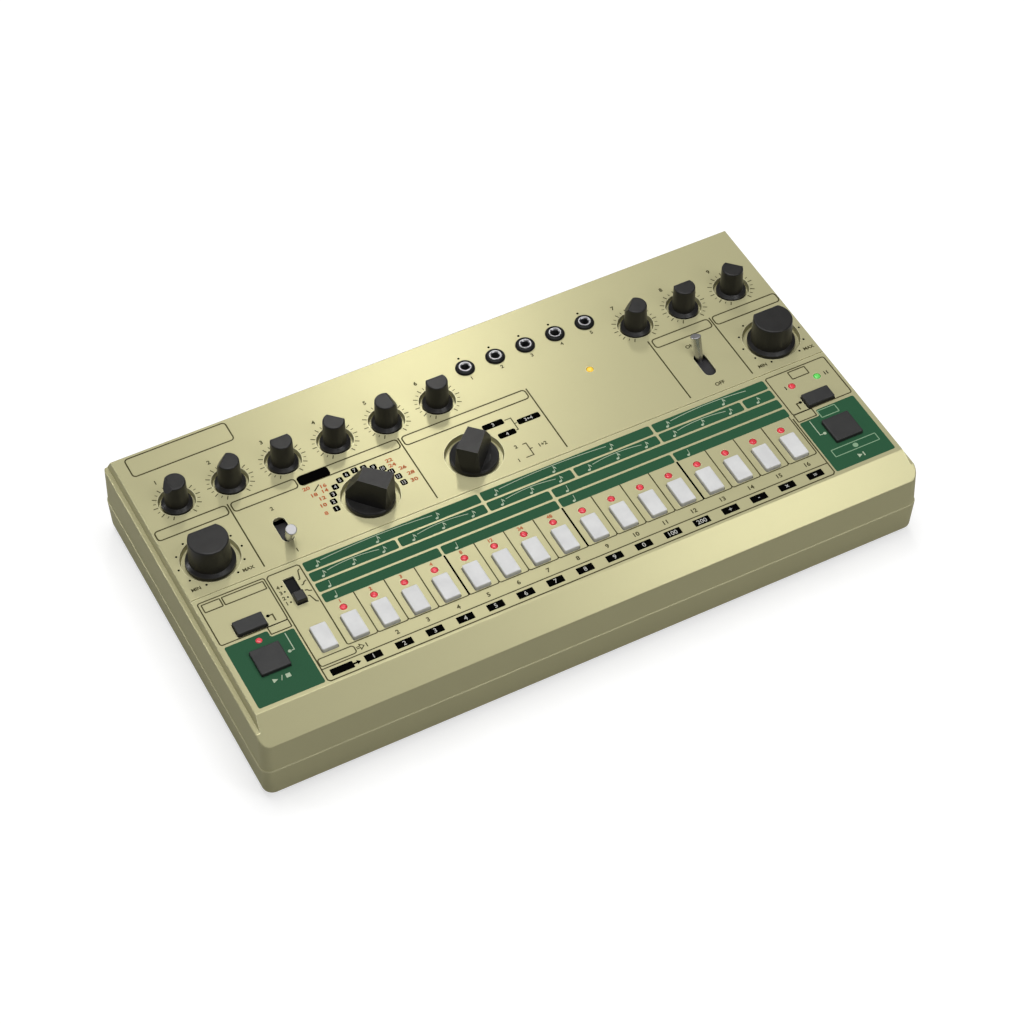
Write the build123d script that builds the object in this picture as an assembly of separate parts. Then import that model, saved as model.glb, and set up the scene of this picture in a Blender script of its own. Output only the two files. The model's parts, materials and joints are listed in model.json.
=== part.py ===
"""Tabletop drum machine with rotary dials, step buttons and a sealed two-part case.

Millimetres. The origin is the middle of the footprint on the table; +X is to the player's
right, +Y to the back and +Z up. Every control stands at its resting position.
"""
import math
import os

from build123d import *

os.makedirs("parts", exist_ok=True)

# ---------------------------------------------------------------- case outline
case_width = 305.0          # across the parting line, the widest place
case_depth = 165.0          # front to back at the parting line
foot_rise = 3.5             # underside of the case above the table
seam_z = 19.2               # parting line between the two halves
bevel_z = 34.0              # where the front and back walls lean in to the panel
panel_z = 43.4              # top face of the control panel
wall = 2.4
floor_thickness = 2.5
corner_radius = 4.5         # plan radius of the four upright corners

side_lean = 0.8             # how far a side wall leans in between seam and ledge
front_lean = 0.84
rear_lean = 0.55
base_lean_side = 0.65       # how far the lower half draws in towards its floor
base_lean_front = 0.7
base_lean_rear = 0.4
front_bevel_run = 10.7
rear_bevel_run = 4.85
ledge_drop = 4.9            # side ledges below the panel
ledge_width = 1.9
ledge_step_lean = 0.9

panel_edge_round = 0.5
ledge_edge_round = 0.7
bevel_edge_round = 0.6
base_edge_round = 1.2
seam_step = 0.3             # how far the lower half stands proud of the upper, all chamfer
crease_y = -7.15            # groove between the two printed fields
crease_width = 0.6
crease_depth = 0.5

lip_rise = 2.0              # tongue of the lower half inside the upper half
lip_thickness = 1.2
lip_clearance = 0.2

# ---------------------------------------------------------------- shared fits
running_clearance = 0.05    # radial, shaft in bushing and pin in hole
seat_clearance = 0.2        # fixed piece in its opening
slide_gap = 0.35            # button in its opening
air_gap = 0.4               # moving piece over a fixed floor

# ---------------------------------------------------------------- boards
board_thickness = 1.6
board_top_z = 24.4
board_gap = 0.7             # board edges to the posts and sockets beside them
io_board_top_z = 9.5
io_board_x = (-76.0, 110.0)
io_board_depth = 33.0
io_board_plate_gap = 0.8

# ---------------------------------------------------------------- rotary controls
left_column_inset = 19.9    # outer dials in from the widest line of the case
right_column_inset = 19.5
knob_columns = 12           # evenly spaced between the outer dials
voice_knob_count = 6
output_knob_count = 3
small_knob_inset = 32.55    # small dials in from the panel's back edge
large_knob_spacing = 34.55  # large dials in front of the small ones
knob_rise = 12.6            # knob tops above the panel
knob_top_round = 0.6
skirt_sink = 2.2            # knob undersides below the panel face
skirt_edge_sink = 0.6       # foot of the sloping skirt below the panel face

small_skirt_radius = 6.6
small_neck_radius = 5.15
small_top_radius = 4.7
small_neck_rise = 0.4
small_facet_offset = 2.4    # pointer facet, from the axis at the top face
small_facet_drop = 4.2

large_skirt_radius = 10.5
large_neck_radius = 9.1
large_top_radius = 8.5
large_neck_rise = 0.5
large_facet_offset = 5.8
large_facet_drop = 5.2

well_gap = 1.4              # skirt to the rim of its well
large_well_gap = 2.2
well_depth = 2.6
well_draft = 0.5
well_floor = 1.4
well_cup_wall = 1.4

shaft_radius = 3.0
shaft_socket_depth = 4.6    # solid top left above a shaft
shaft_hole_clearance = 0.5
pot_size = 9.8
pot_height = 6.8
bushing_radius = 4.0
bushing_height = 4.6
shaft_engagement = 9.0      # shaft held inside its bushing and body

# selector knobs: a tapering grip bar on a dished skirt, pointing along +u
grip_rise = 12.4
grip_foot_half_length = 10.3
grip_foot_half_widths = (5.9, 4.6)      # at the blunt end and at the nose
grip_draft = 1.1            # how far each face of the bar leans in from foot to top
grip_ramp_start = 3.9       # where the nose begins to slope down
grip_ramp_end = 10.6
grip_ramp_foot_rise = 1.9
grip_skirt_gap = 0.15       # bar in from the rim of its skirt
dish_lip_radius = 10.0
dish_floor_radius = 7.0
dish_depth = 0.6
rotary_switch_radius = 11.5
rotary_switch_height = 8.8

# resting pointer angles, anticlockwise from +X
voice_pointer_angles = (180, 135, 90, 45, 0, 90)
output_pointer_angles = (135, 90, 45)
tempo_pointer_angle = 90
volume_pointer_angle = 90
instrument_pointer_angle = 135
mode_pointer_angle = 45

# ---------------------------------------------------------------- toggles
toggle_inset = 52.75        # in from the widest line of the case
toggle_slot_width = 5.55
toggle_slot_length = 14.0
toggle_pivot_depth = 12.0   # below the panel face
toggle_lean = 22.5
toggle_hub_radius = 2.0
toggle_hub_half_length = 2.1
toggle_pin_radius = 1.0
toggle_pin_half_length = 3.6
toggle_body_size = (8.6, 13.0)
toggle_body_rise = 3.4      # body top above the pivot
toggle_body_side_gap = 0.3
lever_length = 23.2
lever_neck_radius = 1.0
lever_tip_radius = 2.4
lever_tip_edge = 0.4
shield_half_angle = 52.0    # curved dust shield that moves with the lever
shield_half_width = 3.1
shield_thickness = 0.5
slot_skin = 0.8             # panel left over the shields of the toggles and the slider
pocket_gap = 0.4            # round a shield in its pocket under the panel

# ---------------------------------------------------------------- slide switch
slide_rest_inset = 44.75    # resting place behind the panel's front edge
slide_step = 3.05
slide_positions = 4
slide_cap_width = 4.6
slide_cap_length = 5.0
slide_cap_rise = 2.5
slide_end_gap = 0.5
slide_side_gap = 0.15
slide_stem_width = 2.4
slide_stem_length = 3.0
slide_body_width = 8.0
slide_body_height = 7.6
slide_body_end = 4.0
slide_stem_engagement = 3.0
slide_shield_half_width = 3.3
slide_shield_overlap = 0.6

# ---------------------------------------------------------------- buttons
row_inset = 43.46           # ends of the step row in from the widest line of the case
step_count = 16
button_row_inset = 22.1     # behind the panel's front edge
button_short = 7.0
button_long = 13.0
button_rise = 1.8
button_travel = 1.0
button_edge_round = 0.5
button_corner_round = 0.6
flange_overhang = 0.8
flange_thickness = 1.0
stem_radius = 1.9
side_button_inset = 19.9
small_button_inset = 41.65
large_button_inset = 21.95
tact_size = 6.2
tact_height = 4.6
plunger_radius = 1.6
plunger_height = 1.4
plunger_gap = 0.1

# ---------------------------------------------------------------- lamps
lamp_radius = 1.55
lamp_rise = 0.4
lamp_length = 5.4
lamp_flange_radius = 1.95
lamp_flange_height = 1.0
lamp_hole_clearance = 0.15
lamp_lead_size = 0.5
lamp_lead_spacing = 2.0
lamp_row_inset = 32.85
start_lamp_inset = 32.95
group_lamp_inset = 52.55
group_lamp_offset = 6.28
power_lamp_column = 12
power_lamp_inset = 46.6     # in from the panel's back edge

# ---------------------------------------------------------------- top jacks
jack_middle_column = 7      # dial column that the row is centred on
jack_pitch = 14.6
jack_count = 5
jack_inset = 21.1           # in from the panel's back edge
jack_bore_radius = 1.8
jack_bore_depth = 15.0
jack_ring_radius = 2.7
jack_ring_rise = 1.3
jack_mouth_chamfer = 0.45
jack_body_size = (10.0, 11.0)
collar_radius = 4.35
collar_rise = 1.15
collar_round = 0.9

# ---------------------------------------------------------------- rear connectors
apron_half_width = 116.0    # part of the upper half that reaches down behind the sockets
apron_bottom_z = 7.0
apron_top_z = 32.0
apron_clearance = 0.3
recess_margin = 3.0
recess_depth = 2.5
plate_thickness = 2.2
socket_axis_z = 19.2
power_x = 96.0
dc_x = 70.0
usb_x = 46.0
midi_x = (16.0, -14.0)
output_x = -60.0

din_body = (19.6, 14.0)
din_ring_radius = 8.1
din_recess_radius = 7.0
din_recess_depth = 6.0
din_pin_circle = 5.0
din_pin_radius = 0.8
din_pin_depth = 4.0
din_proud = 0.3

usb_body = (12.1, 10.9, 16.5)
usb_opening = (8.6, 7.9)
usb_depth = 9.5
usb_tongue = (5.6, 3.2)
usb_tongue_setback = 4.8
usb_proud = 0.3

dc_body = (9.2, 11.2, 14.0)
dc_bore_radius = 3.15
dc_bore_depth = 5.0
dc_inner_radius = 2.5
dc_inner_depth = 5.0
dc_pin_radius = 1.0
dc_proud = 0.3

output_bore_radius = 3.25
output_bore_depth = 25.0
output_body = (16.0, 24.0)
output_thread_radius = 5.5
output_proud = 2.1
output_nut_across = 14.0
output_nut_thickness = 1.8

switch_bezel = (21.0, 15.0, 1.4)
switch_body = (18.8, 12.6, 14.0)
rocker_half_length = 6.0
rocker_half_height = 4.3
rocker_pivot_sink = 0.6
rocker_end_rise = 1.9
rocker_middle_rise = 0.9
rocker_depth = 3.2
rocker_lean = 8.0
rocker_gap = 0.35
rocker_pin_radius = 1.0
rocker_pin_reach = 0.9

# ---------------------------------------------------------------- fasteners and feet
side_post_inset = 7.2
end_post_inset = 24.5       # outer side posts in from the front and the back
front_post_x = (-50.0, 50.0)
front_post_inset = 16.0
rear_post_x = (-100.0, -37.0, 122.0)
rear_post_inset = 11.5
post_radius = 3.0
boss_radius = 4.6
board_post_radius = 2.8
board_post_dial_columns = (0.5, 3.5, 6.5, 9.5)
board_post_step_columns = (1, 7, 9, 15)
board_post_spacing = 13.55  # rear board posts in front of the small dials
board_post_drop = 10.75     # front board posts in front of the step buttons
screw_radius = 1.45
screw_length = 12.0
screw_head_radius = 2.75
screw_head_height = 1.8
screw_socket_radius = 0.8
screw_socket_depth = 1.1
screw_seat_z = 13.0
peg_radius = 1.4
peg_inset = 5.5             # pegs in from the connector board's edges
peg_shoulder_radius = 2.6
peg_rise = 0.8

foot_radius = 8.0
foot_inset_x = 27.5
foot_inset_y = 22.5
foot_recess = 0.5
foot_edge_round = 0.8

ribbon_x = 0.0
ribbon_width = 20.0
ribbon_thickness = 0.9
ribbon_bend = 3.0
header_height = 4.6
header_depth = 6.0
upper_header_inset = 35.0   # in front of the panel board's back edge
lower_header_inset = 8.0    # behind the connector board's front edge

# ---------------------------------------------------------------- derived places
half_width = case_width / 2
half_depth = case_depth / 2
ledge_z = panel_z - ledge_drop
ledge_half_width = half_width - side_lean
plate_foot_half_width = ledge_half_width - ledge_width
plate_half_width = plate_foot_half_width - ledge_step_lean
front_bevel_y = -half_depth + front_lean
rear_bevel_y = half_depth - rear_lean
plate_front_y = front_bevel_y + front_bevel_run
plate_rear_y = rear_bevel_y - rear_bevel_run
panel_under_z = panel_z - wall
floor_top_z = foot_rise + floor_thickness
knob_top_z = panel_z + knob_rise
well_floor_z = panel_z - well_depth
toggle_pivot_z = panel_z - toggle_pivot_depth
slot_under_z = panel_z - slot_skin
shield_radius = toggle_pivot_depth - slot_skin - slide_gap
lip_inset = seam_step + wall + lip_clearance
small_well_radius = small_skirt_radius + well_gap
large_well_radius = large_skirt_radius + large_well_gap
recess_floor_y = half_depth - recess_depth
plate_inner_y = recess_floor_y - plate_thickness
slide_travel = slide_step * (slide_positions - 1)
slide_shield_reach = slide_cap_length / 2 + slide_travel + slide_end_gap + slide_shield_overlap
plunger_top_z = board_top_z + tact_height + plunger_height
io_board_under_z = io_board_top_z - board_thickness

left_column_x = -half_width + left_column_inset
right_column_x = half_width - right_column_inset
knob_pitch = (right_column_x - left_column_x) / (knob_columns - 1)
voice_knob_x = [left_column_x + i * knob_pitch for i in range(voice_knob_count)]
output_knob_x = [right_column_x - i * knob_pitch for i in reversed(range(output_knob_count))]
small_knob_x = voice_knob_x + output_knob_x
instrument_x = voice_knob_x[3]
mode_x = voice_knob_x[5]
small_knob_y = plate_rear_y - small_knob_inset
large_knob_y = small_knob_y - large_knob_spacing
toggle_x = half_width - toggle_inset
toggle_y = large_knob_y

jack_middle_x = left_column_x + jack_middle_column * knob_pitch
jack_x = [jack_middle_x + (i - (jack_count - 1) / 2) * jack_pitch for i in range(jack_count)]
jack_y = plate_rear_y - jack_inset

column_pitch = 2 * (half_width - row_inset) / step_count
column_x = [(i - step_count / 2) * column_pitch for i in range(step_count + 1)]
button_row_y = plate_front_y + button_row_inset
side_button_x = half_width - side_button_inset
small_button_y = plate_front_y + small_button_inset
large_button_y = plate_front_y + large_button_inset
slide_x = column_x[0]
slide_rest_y = plate_front_y + slide_rest_inset
lamp_row_y = plate_front_y + lamp_row_inset
start_lamp_y = plate_front_y + start_lamp_inset
group_lamp_y = plate_front_y + group_lamp_inset
power_lamp = (column_x[power_lamp_column], plate_rear_y - power_lamp_inset)

side_post_x = half_width - side_post_inset
side_post_y = (-half_depth + end_post_inset, 0.0, half_depth - end_post_inset)
front_post_y = -half_depth + front_post_inset
rear_post_y = half_depth - rear_post_inset
case_posts = (
    [(side * side_post_x, y) for side in (-1, 1) for y in side_post_y]
    + [(x, front_post_y) for x in front_post_x]
    + [(x, rear_post_y) for x in rear_post_x]
)
board_posts = [(left_column_x + i * knob_pitch, small_knob_y - board_post_spacing)
               for i in board_post_dial_columns]
board_posts += [(column_x[i], button_row_y - board_post_drop) for i in board_post_step_columns]

board_half_width = side_post_x - post_radius - board_gap
board_front_y = front_post_y + post_radius + board_gap
board_rear_y = plate_inner_y - seat_clearance - din_body[1] - board_gap
io_board_rear_y = plate_inner_y - io_board_plate_gap
io_board_y = (io_board_rear_y - io_board_depth, io_board_rear_y)
peg_points = [(io_board_x[0] + peg_inset, io_board_y[0] + peg_inset),
              (io_board_x[0] + peg_inset, io_board_y[1] - peg_inset),
              (io_board_x[1] - peg_inset, io_board_y[0] + peg_inset),
              (dc_x - 2 * peg_inset, io_board_y[0] + peg_inset)]
upper_header_y = board_rear_y - upper_header_inset
lower_header_y = io_board_y[0] + lower_header_inset


# ---------------------------------------------------------------- helpers
def block(x, y, z):
    """Box between two x, two y and two z values."""
    size = (x[1] - x[0], y[1] - y[0], z[1] - z[0])
    centre = ((x[0] + x[1]) / 2, (y[0] + y[1]) / 2, (z[0] + z[1]) / 2)
    return Pos(*centre) * Box(*size)


def upright(x, y, radius, z0, z1):
    """Vertical cylinder between two heights."""
    return Pos(x, y, (z0 + z1) / 2) * Cylinder(radius, z1 - z0)


def lying(x, z, radius, y0, y1):
    """Cylinder along Y between two depths."""
    return Pos(x, (y0 + y1) / 2, z) * Rot(90, 0, 0) * Cylinder(radius, y1 - y0)


def rounded_block(x, y, z0, z1, length_x, length_y, radius):
    """Upright block with rounded corners, centred on x and y."""
    return Pos(x, y, z0) * extrude(RectangleRounded(length_x, length_y, radius), z1 - z0)


def turned(points):
    """Solid of revolution about Z from (radius, height) points that start and end on the axis."""
    outline = make_face(Plane.XZ * Polyline(*points, close=True))
    return revolve(outline, Axis.Z)


def crossed(front_points, side_points, inset):
    """Solid whose front view and side view are the two outlines, drawn in by inset."""
    front = make_face(Polyline(*front_points, close=True))
    side = make_face(Polyline(*side_points, close=True))
    if inset:
        front = offset(front, amount=-inset, kind=Kind.INTERSECTION)
        side = offset(side, amount=-inset, kind=Kind.INTERSECTION)
    return (extrude(Plane.XZ * front, case_depth, both=True)
            & extrude(Plane.YZ * side, case_width, both=True))


def round_uprights(form, radius):
    """Form with its four upright corners rounded."""
    return fillet(form.edges().filter_by(lambda edge: edge.bounding_box().size.Z > 0.5), radius)


def edges_at(form, z, tolerance=0.01):
    """Edges that lie level at one height."""
    return form.edges().filter_by(
        lambda edge: edge.bounding_box().size.Z < tolerance and abs(edge.center().Z - z) < tolerance
    )


def one_solid(shape):
    """The single solid that a chain of cuts and joins leaves."""
    solids = shape.solids()
    if len(solids) != 1:
        raise ValueError(f"expected one solid, found {len(solids)}")
    return solids[0]


def save(name, solids):
    """Write one node, as a compound when it groups several solids."""
    solids = list(solids)
    shape = solids[0] if len(solids) == 1 else Compound(children=solids)
    shape.label = name
    export_step(shape, os.path.join("parts", name + ".step"))


# ---------------------------------------------------------------- case halves
def mirrored(right_side):
    """Closed outline from the points of its right half, listed upwards."""
    return right_side + [(-x, z) for x, z in reversed(right_side)]


def carried_on(start, end, height):
    """Level reached at a height by the straight line through two (distance, height) points."""
    return start[0] + (end[0] - start[0]) * (height - start[1]) / (end[1] - start[1])


def walled(side_line, front_line, rear_line, low_z, high_z, inset):
    """Upright box whose four walls follow leaning lines, each given by two (distance, z) points."""
    side = [carried_on(*side_line, z) for z in (low_z, high_z)]
    front = [carried_on(*front_line, z) for z in (low_z, high_z)]
    rear = [carried_on(*rear_line, z) for z in (low_z, high_z)]
    walls = crossed(
        mirrored([(side[0], low_z), (side[1], high_z)]),
        [(front[0], low_z), (front[1], high_z), (rear[1], high_z), (rear[0], low_z)],
        inset)
    return round_uprights(walls, corner_radius - inset)


def upper_form(inset):
    """Shape of the upper half, drawn in by inset, with its walls carried on below the seam."""
    low_z = foot_rise
    walls = walled(((half_width - seam_step, seam_z), (ledge_half_width, ledge_z)),
                   ((seam_step - half_depth, seam_z), (front_bevel_y, bevel_z)),
                   ((half_depth - seam_step, seam_z), (rear_bevel_y, bevel_z)),
                   low_z, panel_z + 2 * wall, inset)
    far_y = half_depth + 2 * wall
    front_out = carried_on((bevel_z, front_bevel_y), (panel_z, plate_front_y), -far_y)
    rear_out = carried_on((bevel_z, rear_bevel_y), (panel_z, plate_rear_y), far_y)
    top = crossed(
        mirrored([(case_width, low_z), (case_width, ledge_z),
                  (plate_foot_half_width, ledge_z), (plate_half_width, panel_z)]),
        [(-far_y, low_z), (-far_y, front_out), (plate_front_y, panel_z),
         (plate_rear_y, panel_z), (far_y, rear_out), (far_y, low_z)],
        inset)
    return walls & top


def lower_form(inset):
    """Shape of the lower half, drawn in by inset, with its walls carried on above the seam."""
    return walled(((half_width - base_lean_side, foot_rise), (half_width, seam_z)),
                  ((-half_depth + base_lean_front, foot_rise), (-half_depth, seam_z)),
                  ((half_depth - base_lean_rear, foot_rise), (half_depth, seam_z)),
                  foot_rise, seam_z + 4 * lip_rise, inset)


def above(form, z):
    """The part of a form above a height."""
    return form & block((-case_width, case_width), (-case_depth, case_depth), (z, 2 * panel_z))


def below(form, z):
    """The part of a form below a height."""
    return form & block((-case_width, case_width), (-case_depth, case_depth), (-panel_z, z))


def upper_skin():
    """Outside of the upper half with its rounded edges."""
    form = above(upper_form(0.0), seam_z)
    creases = edges_at(form, bevel_z).filter_by(
        lambda edge: edge.bounding_box().size.X > half_width
    )
    form = fillet(creases, bevel_edge_round)
    form = fillet(edges_at(form, panel_z), panel_edge_round)
    ledges = edges_at(form, ledge_z).filter_by(
        lambda edge: abs(edge.center().X) > (ledge_half_width + plate_foot_half_width) / 2
    )
    return fillet(ledges, ledge_edge_round)


def knob_wells():
    """Cups under the panel and the recesses cut into them, one for each rotary control."""
    cups, recesses = [], []
    for x, y, radius in rotary_places():
        cups.append(upright(x, y, radius + well_cup_wall, well_floor_z - well_floor,
                            panel_z - wall / 2))
        recess = Pos(x, y, panel_z - well_depth / 2) * Cone(radius - well_draft, radius, well_depth)
        recesses.append(recess)
        recesses.append(upright(x, y, shaft_radius + shaft_hole_clearance,
                                well_floor_z - 2 * well_floor, panel_z))
    return cups, recesses


def rotary_places():
    """Centre and well radius of every rotary control."""
    places = [(x, small_knob_y, small_well_radius) for x in small_knob_x]
    for x in (left_column_x, instrument_x, mode_x, right_column_x):
        places.append((x, large_knob_y, large_well_radius))
    return places


def panel_openings():
    """Everything cut through the control panel besides the knob wells."""
    low, high = panel_under_z - 1, panel_z + 1
    cuts = []
    for x, y, size_x, size_y in button_places():
        cuts.append(rounded_block(x, y, low, high, size_x + 2 * slide_gap, size_y + 2 * slide_gap,
                                  button_corner_round + slide_gap))
    for side in (-1, 1):
        slot = SlotOverall(toggle_slot_length, toggle_slot_width, rotation=90)
        cuts.append(Pos(side * toggle_x, toggle_y, low) * extrude(slot, high - low))
        cuts.append(pocket(side * toggle_x, shield_half_width, toggle_y - toggle_slot_length / 2,
                           toggle_y + toggle_slot_length / 2))
    for x, y in lamp_places():
        cuts.append(upright(x, y, lamp_radius + lamp_hole_clearance, low, high))
    for x in jack_x:
        cuts.append(upright(x, jack_y, jack_ring_radius + seat_clearance, low, high))
    cuts.append(block((slide_x - slide_cap_width / 2 - slide_side_gap,
                       slide_x + slide_cap_width / 2 + slide_side_gap),
                      (slide_rest_y - slide_cap_length / 2 - slide_end_gap,
                       slide_rest_y + slide_travel + slide_cap_length / 2 + slide_end_gap),
                      (low, high)))
    cuts.append(block((-case_width, case_width),
                      (crease_y - crease_width / 2, crease_y + crease_width / 2),
                      (panel_z - crease_depth, panel_z + 1)))
    cuts.append(pocket(slide_x, slide_shield_half_width, slide_rest_y - slide_shield_reach,
                       slide_rest_y + slide_travel + slide_shield_reach))
    return cuts


def pocket(x, half_width_x, y0, y1):
    """Room under the panel for a dust shield, which leaves slot_skin above it."""
    half_x = half_width_x + pocket_gap
    return block((x - half_x, x + half_x), (y0 - pocket_gap, y1 + pocket_gap),
                 (panel_under_z - 1, slot_under_z))


def socket_openings():
    """Holes through the rear plate for the sockets and the power switch."""
    low, high = plate_inner_y - 1, half_depth + 1
    cuts = [lying(x, socket_axis_z, din_ring_radius + seat_clearance, low, high) for x in midi_x]
    cuts.append(lying(output_x, socket_axis_z, output_thread_radius + seat_clearance, low, high))
    for x, (size_x, size_z), axis_z in (
        (usb_x, usb_body[:2], io_board_top_z + usb_body[1] / 2),
        (dc_x, dc_body[:2], io_board_top_z + dc_body[1] / 2),
        (power_x, switch_body[:2], socket_axis_z),
    ):
        cuts.append(block((x - size_x / 2 - seat_clearance, x + size_x / 2 + seat_clearance),
                          (low, high),
                          (axis_z - size_z / 2 - seat_clearance,
                           axis_z + size_z / 2 + seat_clearance)))
    return cuts


def make_top_shell():
    """Upper half: panel, bevels, side ledges, posts and the apron behind the sockets."""
    shell = upper_skin() - upper_form(wall)
    apron_x, apron_y = (-apron_half_width, apron_half_width), (plate_inner_y, half_depth)
    aprons = [upper_form(0.0) & block(apron_x, apron_y, (seam_z, apron_top_z)),
              lower_form(0.0) & block(apron_x, apron_y, (apron_bottom_z, seam_z))]
    cups, recesses = knob_wells()
    posts = [upright(x, y, post_radius, seam_z, panel_z - wall / 2) for x, y in case_posts]
    posts += [upright(x, y, board_post_radius, board_top_z, panel_z - wall / 2)
              for x, y in board_posts]
    shell = shell + aprons + cups + posts
    pilots = [upright(x, y, screw_radius + running_clearance, seam_z - 1,
                      screw_seat_z + screw_length + 1) for x, y in case_posts]
    pilots += [upright(x, y, screw_radius + running_clearance, board_top_z - 1,
                       board_top_z - board_thickness + screw_length + 1) for x, y in board_posts]
    recess = block((-apron_half_width + recess_margin, apron_half_width - recess_margin),
                   (recess_floor_y, half_depth + 1),
                   (apron_bottom_z + recess_margin, apron_top_z - recess_margin))
    return one_solid(shell - (recesses + panel_openings() + socket_openings() + pilots + [recess]))


def lip_ring(outer_inset, z0, z1):
    """Upright ring that follows the case outline, lip_thickness thick."""
    rings = []
    for inset in (outer_inset, lip_inset + lip_thickness):
        outline = RectangleRounded(case_width - 2 * inset, case_depth - 2 * inset,
                                   corner_radius - min(inset, wall))
        rings.append(Pos(0, 0, z0) * extrude(outline, z1 - z0))
    return rings[0] - rings[1]


def make_bottom_shell():
    """Lower half: floor, walls, tongue, screw bosses and seats for the connector board."""
    form = below(lower_form(0.0), seam_z)
    form = fillet(edges_at(form, foot_rise), base_edge_round)
    form = chamfer(edges_at(form, seam_z), seam_step)
    inside = above(lower_form(wall), floor_top_z)
    shell = form - inside
    joins = [lip_ring(wall / 2, seam_z - 2 * lip_rise, seam_z - seam_step),
             lip_ring(lip_inset, seam_z - lip_rise, seam_z + lip_rise)]
    joins += [upright(x, y, boss_radius, floor_top_z - floor_thickness / 2, seam_z)
              for x, y in case_posts]
    joins += [upright(x, y, peg_shoulder_radius, floor_top_z - floor_thickness / 2,
                      io_board_under_z) for x, y in peg_points]
    joins += [upright(x, y, peg_radius, floor_top_z, io_board_top_z + peg_rise)
              for x, y in peg_points]
    shell = shell + joins
    cuts = [block((-apron_half_width - apron_clearance, apron_half_width + apron_clearance),
                  (plate_inner_y - apron_clearance, half_depth + 1),
                  (apron_bottom_z - apron_clearance, seam_z + 2 * lip_rise))]
    for x, y in case_posts:
        cuts.append(upright(x, y, screw_head_radius + seat_clearance, foot_rise - 1, screw_seat_z))
        cuts.append(upright(x, y, screw_radius + seat_clearance, screw_seat_z - 1, seam_z + 1))
    cuts += [upright(x, y, foot_radius + seat_clearance / 2, foot_rise - 1,
                     foot_rise + foot_recess) for x, y in foot_places()]
    return one_solid(shell - cuts)


# ---------------------------------------------------------------- boards, screws and feet
def make_panel_board():
    """Circuit board under the panel, notched round the output jack."""
    board = block((-board_half_width, board_half_width), (board_front_y, board_rear_y),
                  (board_top_z - board_thickness, board_top_z))
    notch_half = output_body[0] / 2 + 2 * seat_clearance
    cuts = [block((output_x - notch_half, output_x + notch_half),
                  (plate_inner_y - output_body[1] - 3 * seat_clearance, board_rear_y + 1),
                  (board_top_z - 2 * board_thickness, board_top_z + 1))]
    cuts += [upright(x, y, screw_radius + seat_clearance, board_top_z - 2 * board_thickness,
                     board_top_z + 1) for x, y in board_posts]
    return one_solid(board - cuts)


def make_connector_board():
    """Circuit board that carries the rear sockets, held on pegs of the lower half."""
    board = block(io_board_x, io_board_y, (io_board_under_z, io_board_top_z))
    low, high = io_board_under_z - 1, io_board_top_z + 1
    cuts = [upright(x, y, peg_radius + seat_clearance, low, high) for x, y in peg_points]
    cuts += [upright(x, y, boss_radius + seat_clearance, low, high) for x, y in case_posts
             if io_board_x[0] < x < io_board_x[1] and y > io_board_y[0]]
    return one_solid(board - cuts)


def make_screws():
    """Self-tapping screws, all driven from below."""
    seats = [(x, y, screw_seat_z) for x, y in case_posts]
    seats += [(x, y, board_top_z - board_thickness) for x, y in board_posts]
    screws = []
    for x, y, seat in seats:
        head = fillet(edges_at(upright(0, 0, screw_head_radius, -screw_head_height, 0),
                               -screw_head_height), screw_head_height / 3)
        screw = head + upright(0, 0, screw_radius, 0, screw_length)
        socket = extrude(RegularPolygon(screw_socket_radius, 6), screw_socket_depth)
        screw -= Pos(0, 0, -screw_head_height) * socket
        screws.append(Pos(x, y, seat) * one_solid(screw))
    return screws


def foot_places():
    """Centres of the four feet."""
    return [(i * (half_width - foot_inset_x), j * (half_depth - foot_inset_y))
            for i in (-1, 1) for j in (-1, 1)]


def make_feet():
    """Soft round feet seated in shallow recesses."""
    feet = []
    for x, y in foot_places():
        foot = upright(x, y, foot_radius, 0, foot_rise + foot_recess)
        feet.append(fillet(edges_at(foot, 0), foot_edge_round))
    return feet


def make_ribbon():
    """Flat cable between the two boards with the header at each end."""
    across = (ribbon_x - ribbon_width / 2, ribbon_x + ribbon_width / 2)
    under_z = board_top_z - board_thickness
    upper = block(across, (upper_header_y - header_depth / 2, upper_header_y + header_depth / 2),
                  (under_z - header_height, under_z))
    lower = block(across, (lower_header_y - header_depth / 2, lower_header_y + header_depth / 2),
                  (io_board_top_z, io_board_top_z + header_height))
    run_z = under_z - header_height / 2
    path = Plane.YZ * FilletPolyline(
        (upper_header_y + header_depth / 2, run_z), (lower_header_y, run_z),
        (lower_header_y, io_board_top_z + header_height), radius=ribbon_bend)
    strip = trace_strip(path, ribbon_thickness, ribbon_width)
    return [upper, Pos(ribbon_x, 0, 0) * strip, lower]


def trace_strip(path, thickness, width):
    """Flat strip that follows a path in the YZ plane, centred on X."""
    edge_start = path @ 0
    section = Plane(edge_start, x_dir=(1, 0, 0), z_dir=path % 0) * Rectangle(width, thickness)
    return sweep(section, path=path)


# ---------------------------------------------------------------- rotary controls
def body_radius(neck_radius, top_radius, neck_rise, rise):
    """Radius of a tapering knob body at a rise above the panel."""
    return neck_radius + (top_radius - neck_radius) * (rise - neck_rise) / (knob_rise - neck_rise)


def shaft_socket(knob):
    """Knob with the blind socket for its shaft."""
    top = knob_top_z - shaft_socket_depth
    return one_solid(knob - upright(0, 0, shaft_radius + running_clearance,
                                    panel_z - skirt_sink - 1, top))


def shaft(bushing_top_z):
    """Control shaft from inside its bushing to the top of the knob's socket."""
    return upright(0, 0, shaft_radius, bushing_top_z - shaft_engagement,
                   knob_top_z - shaft_socket_depth)


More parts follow.
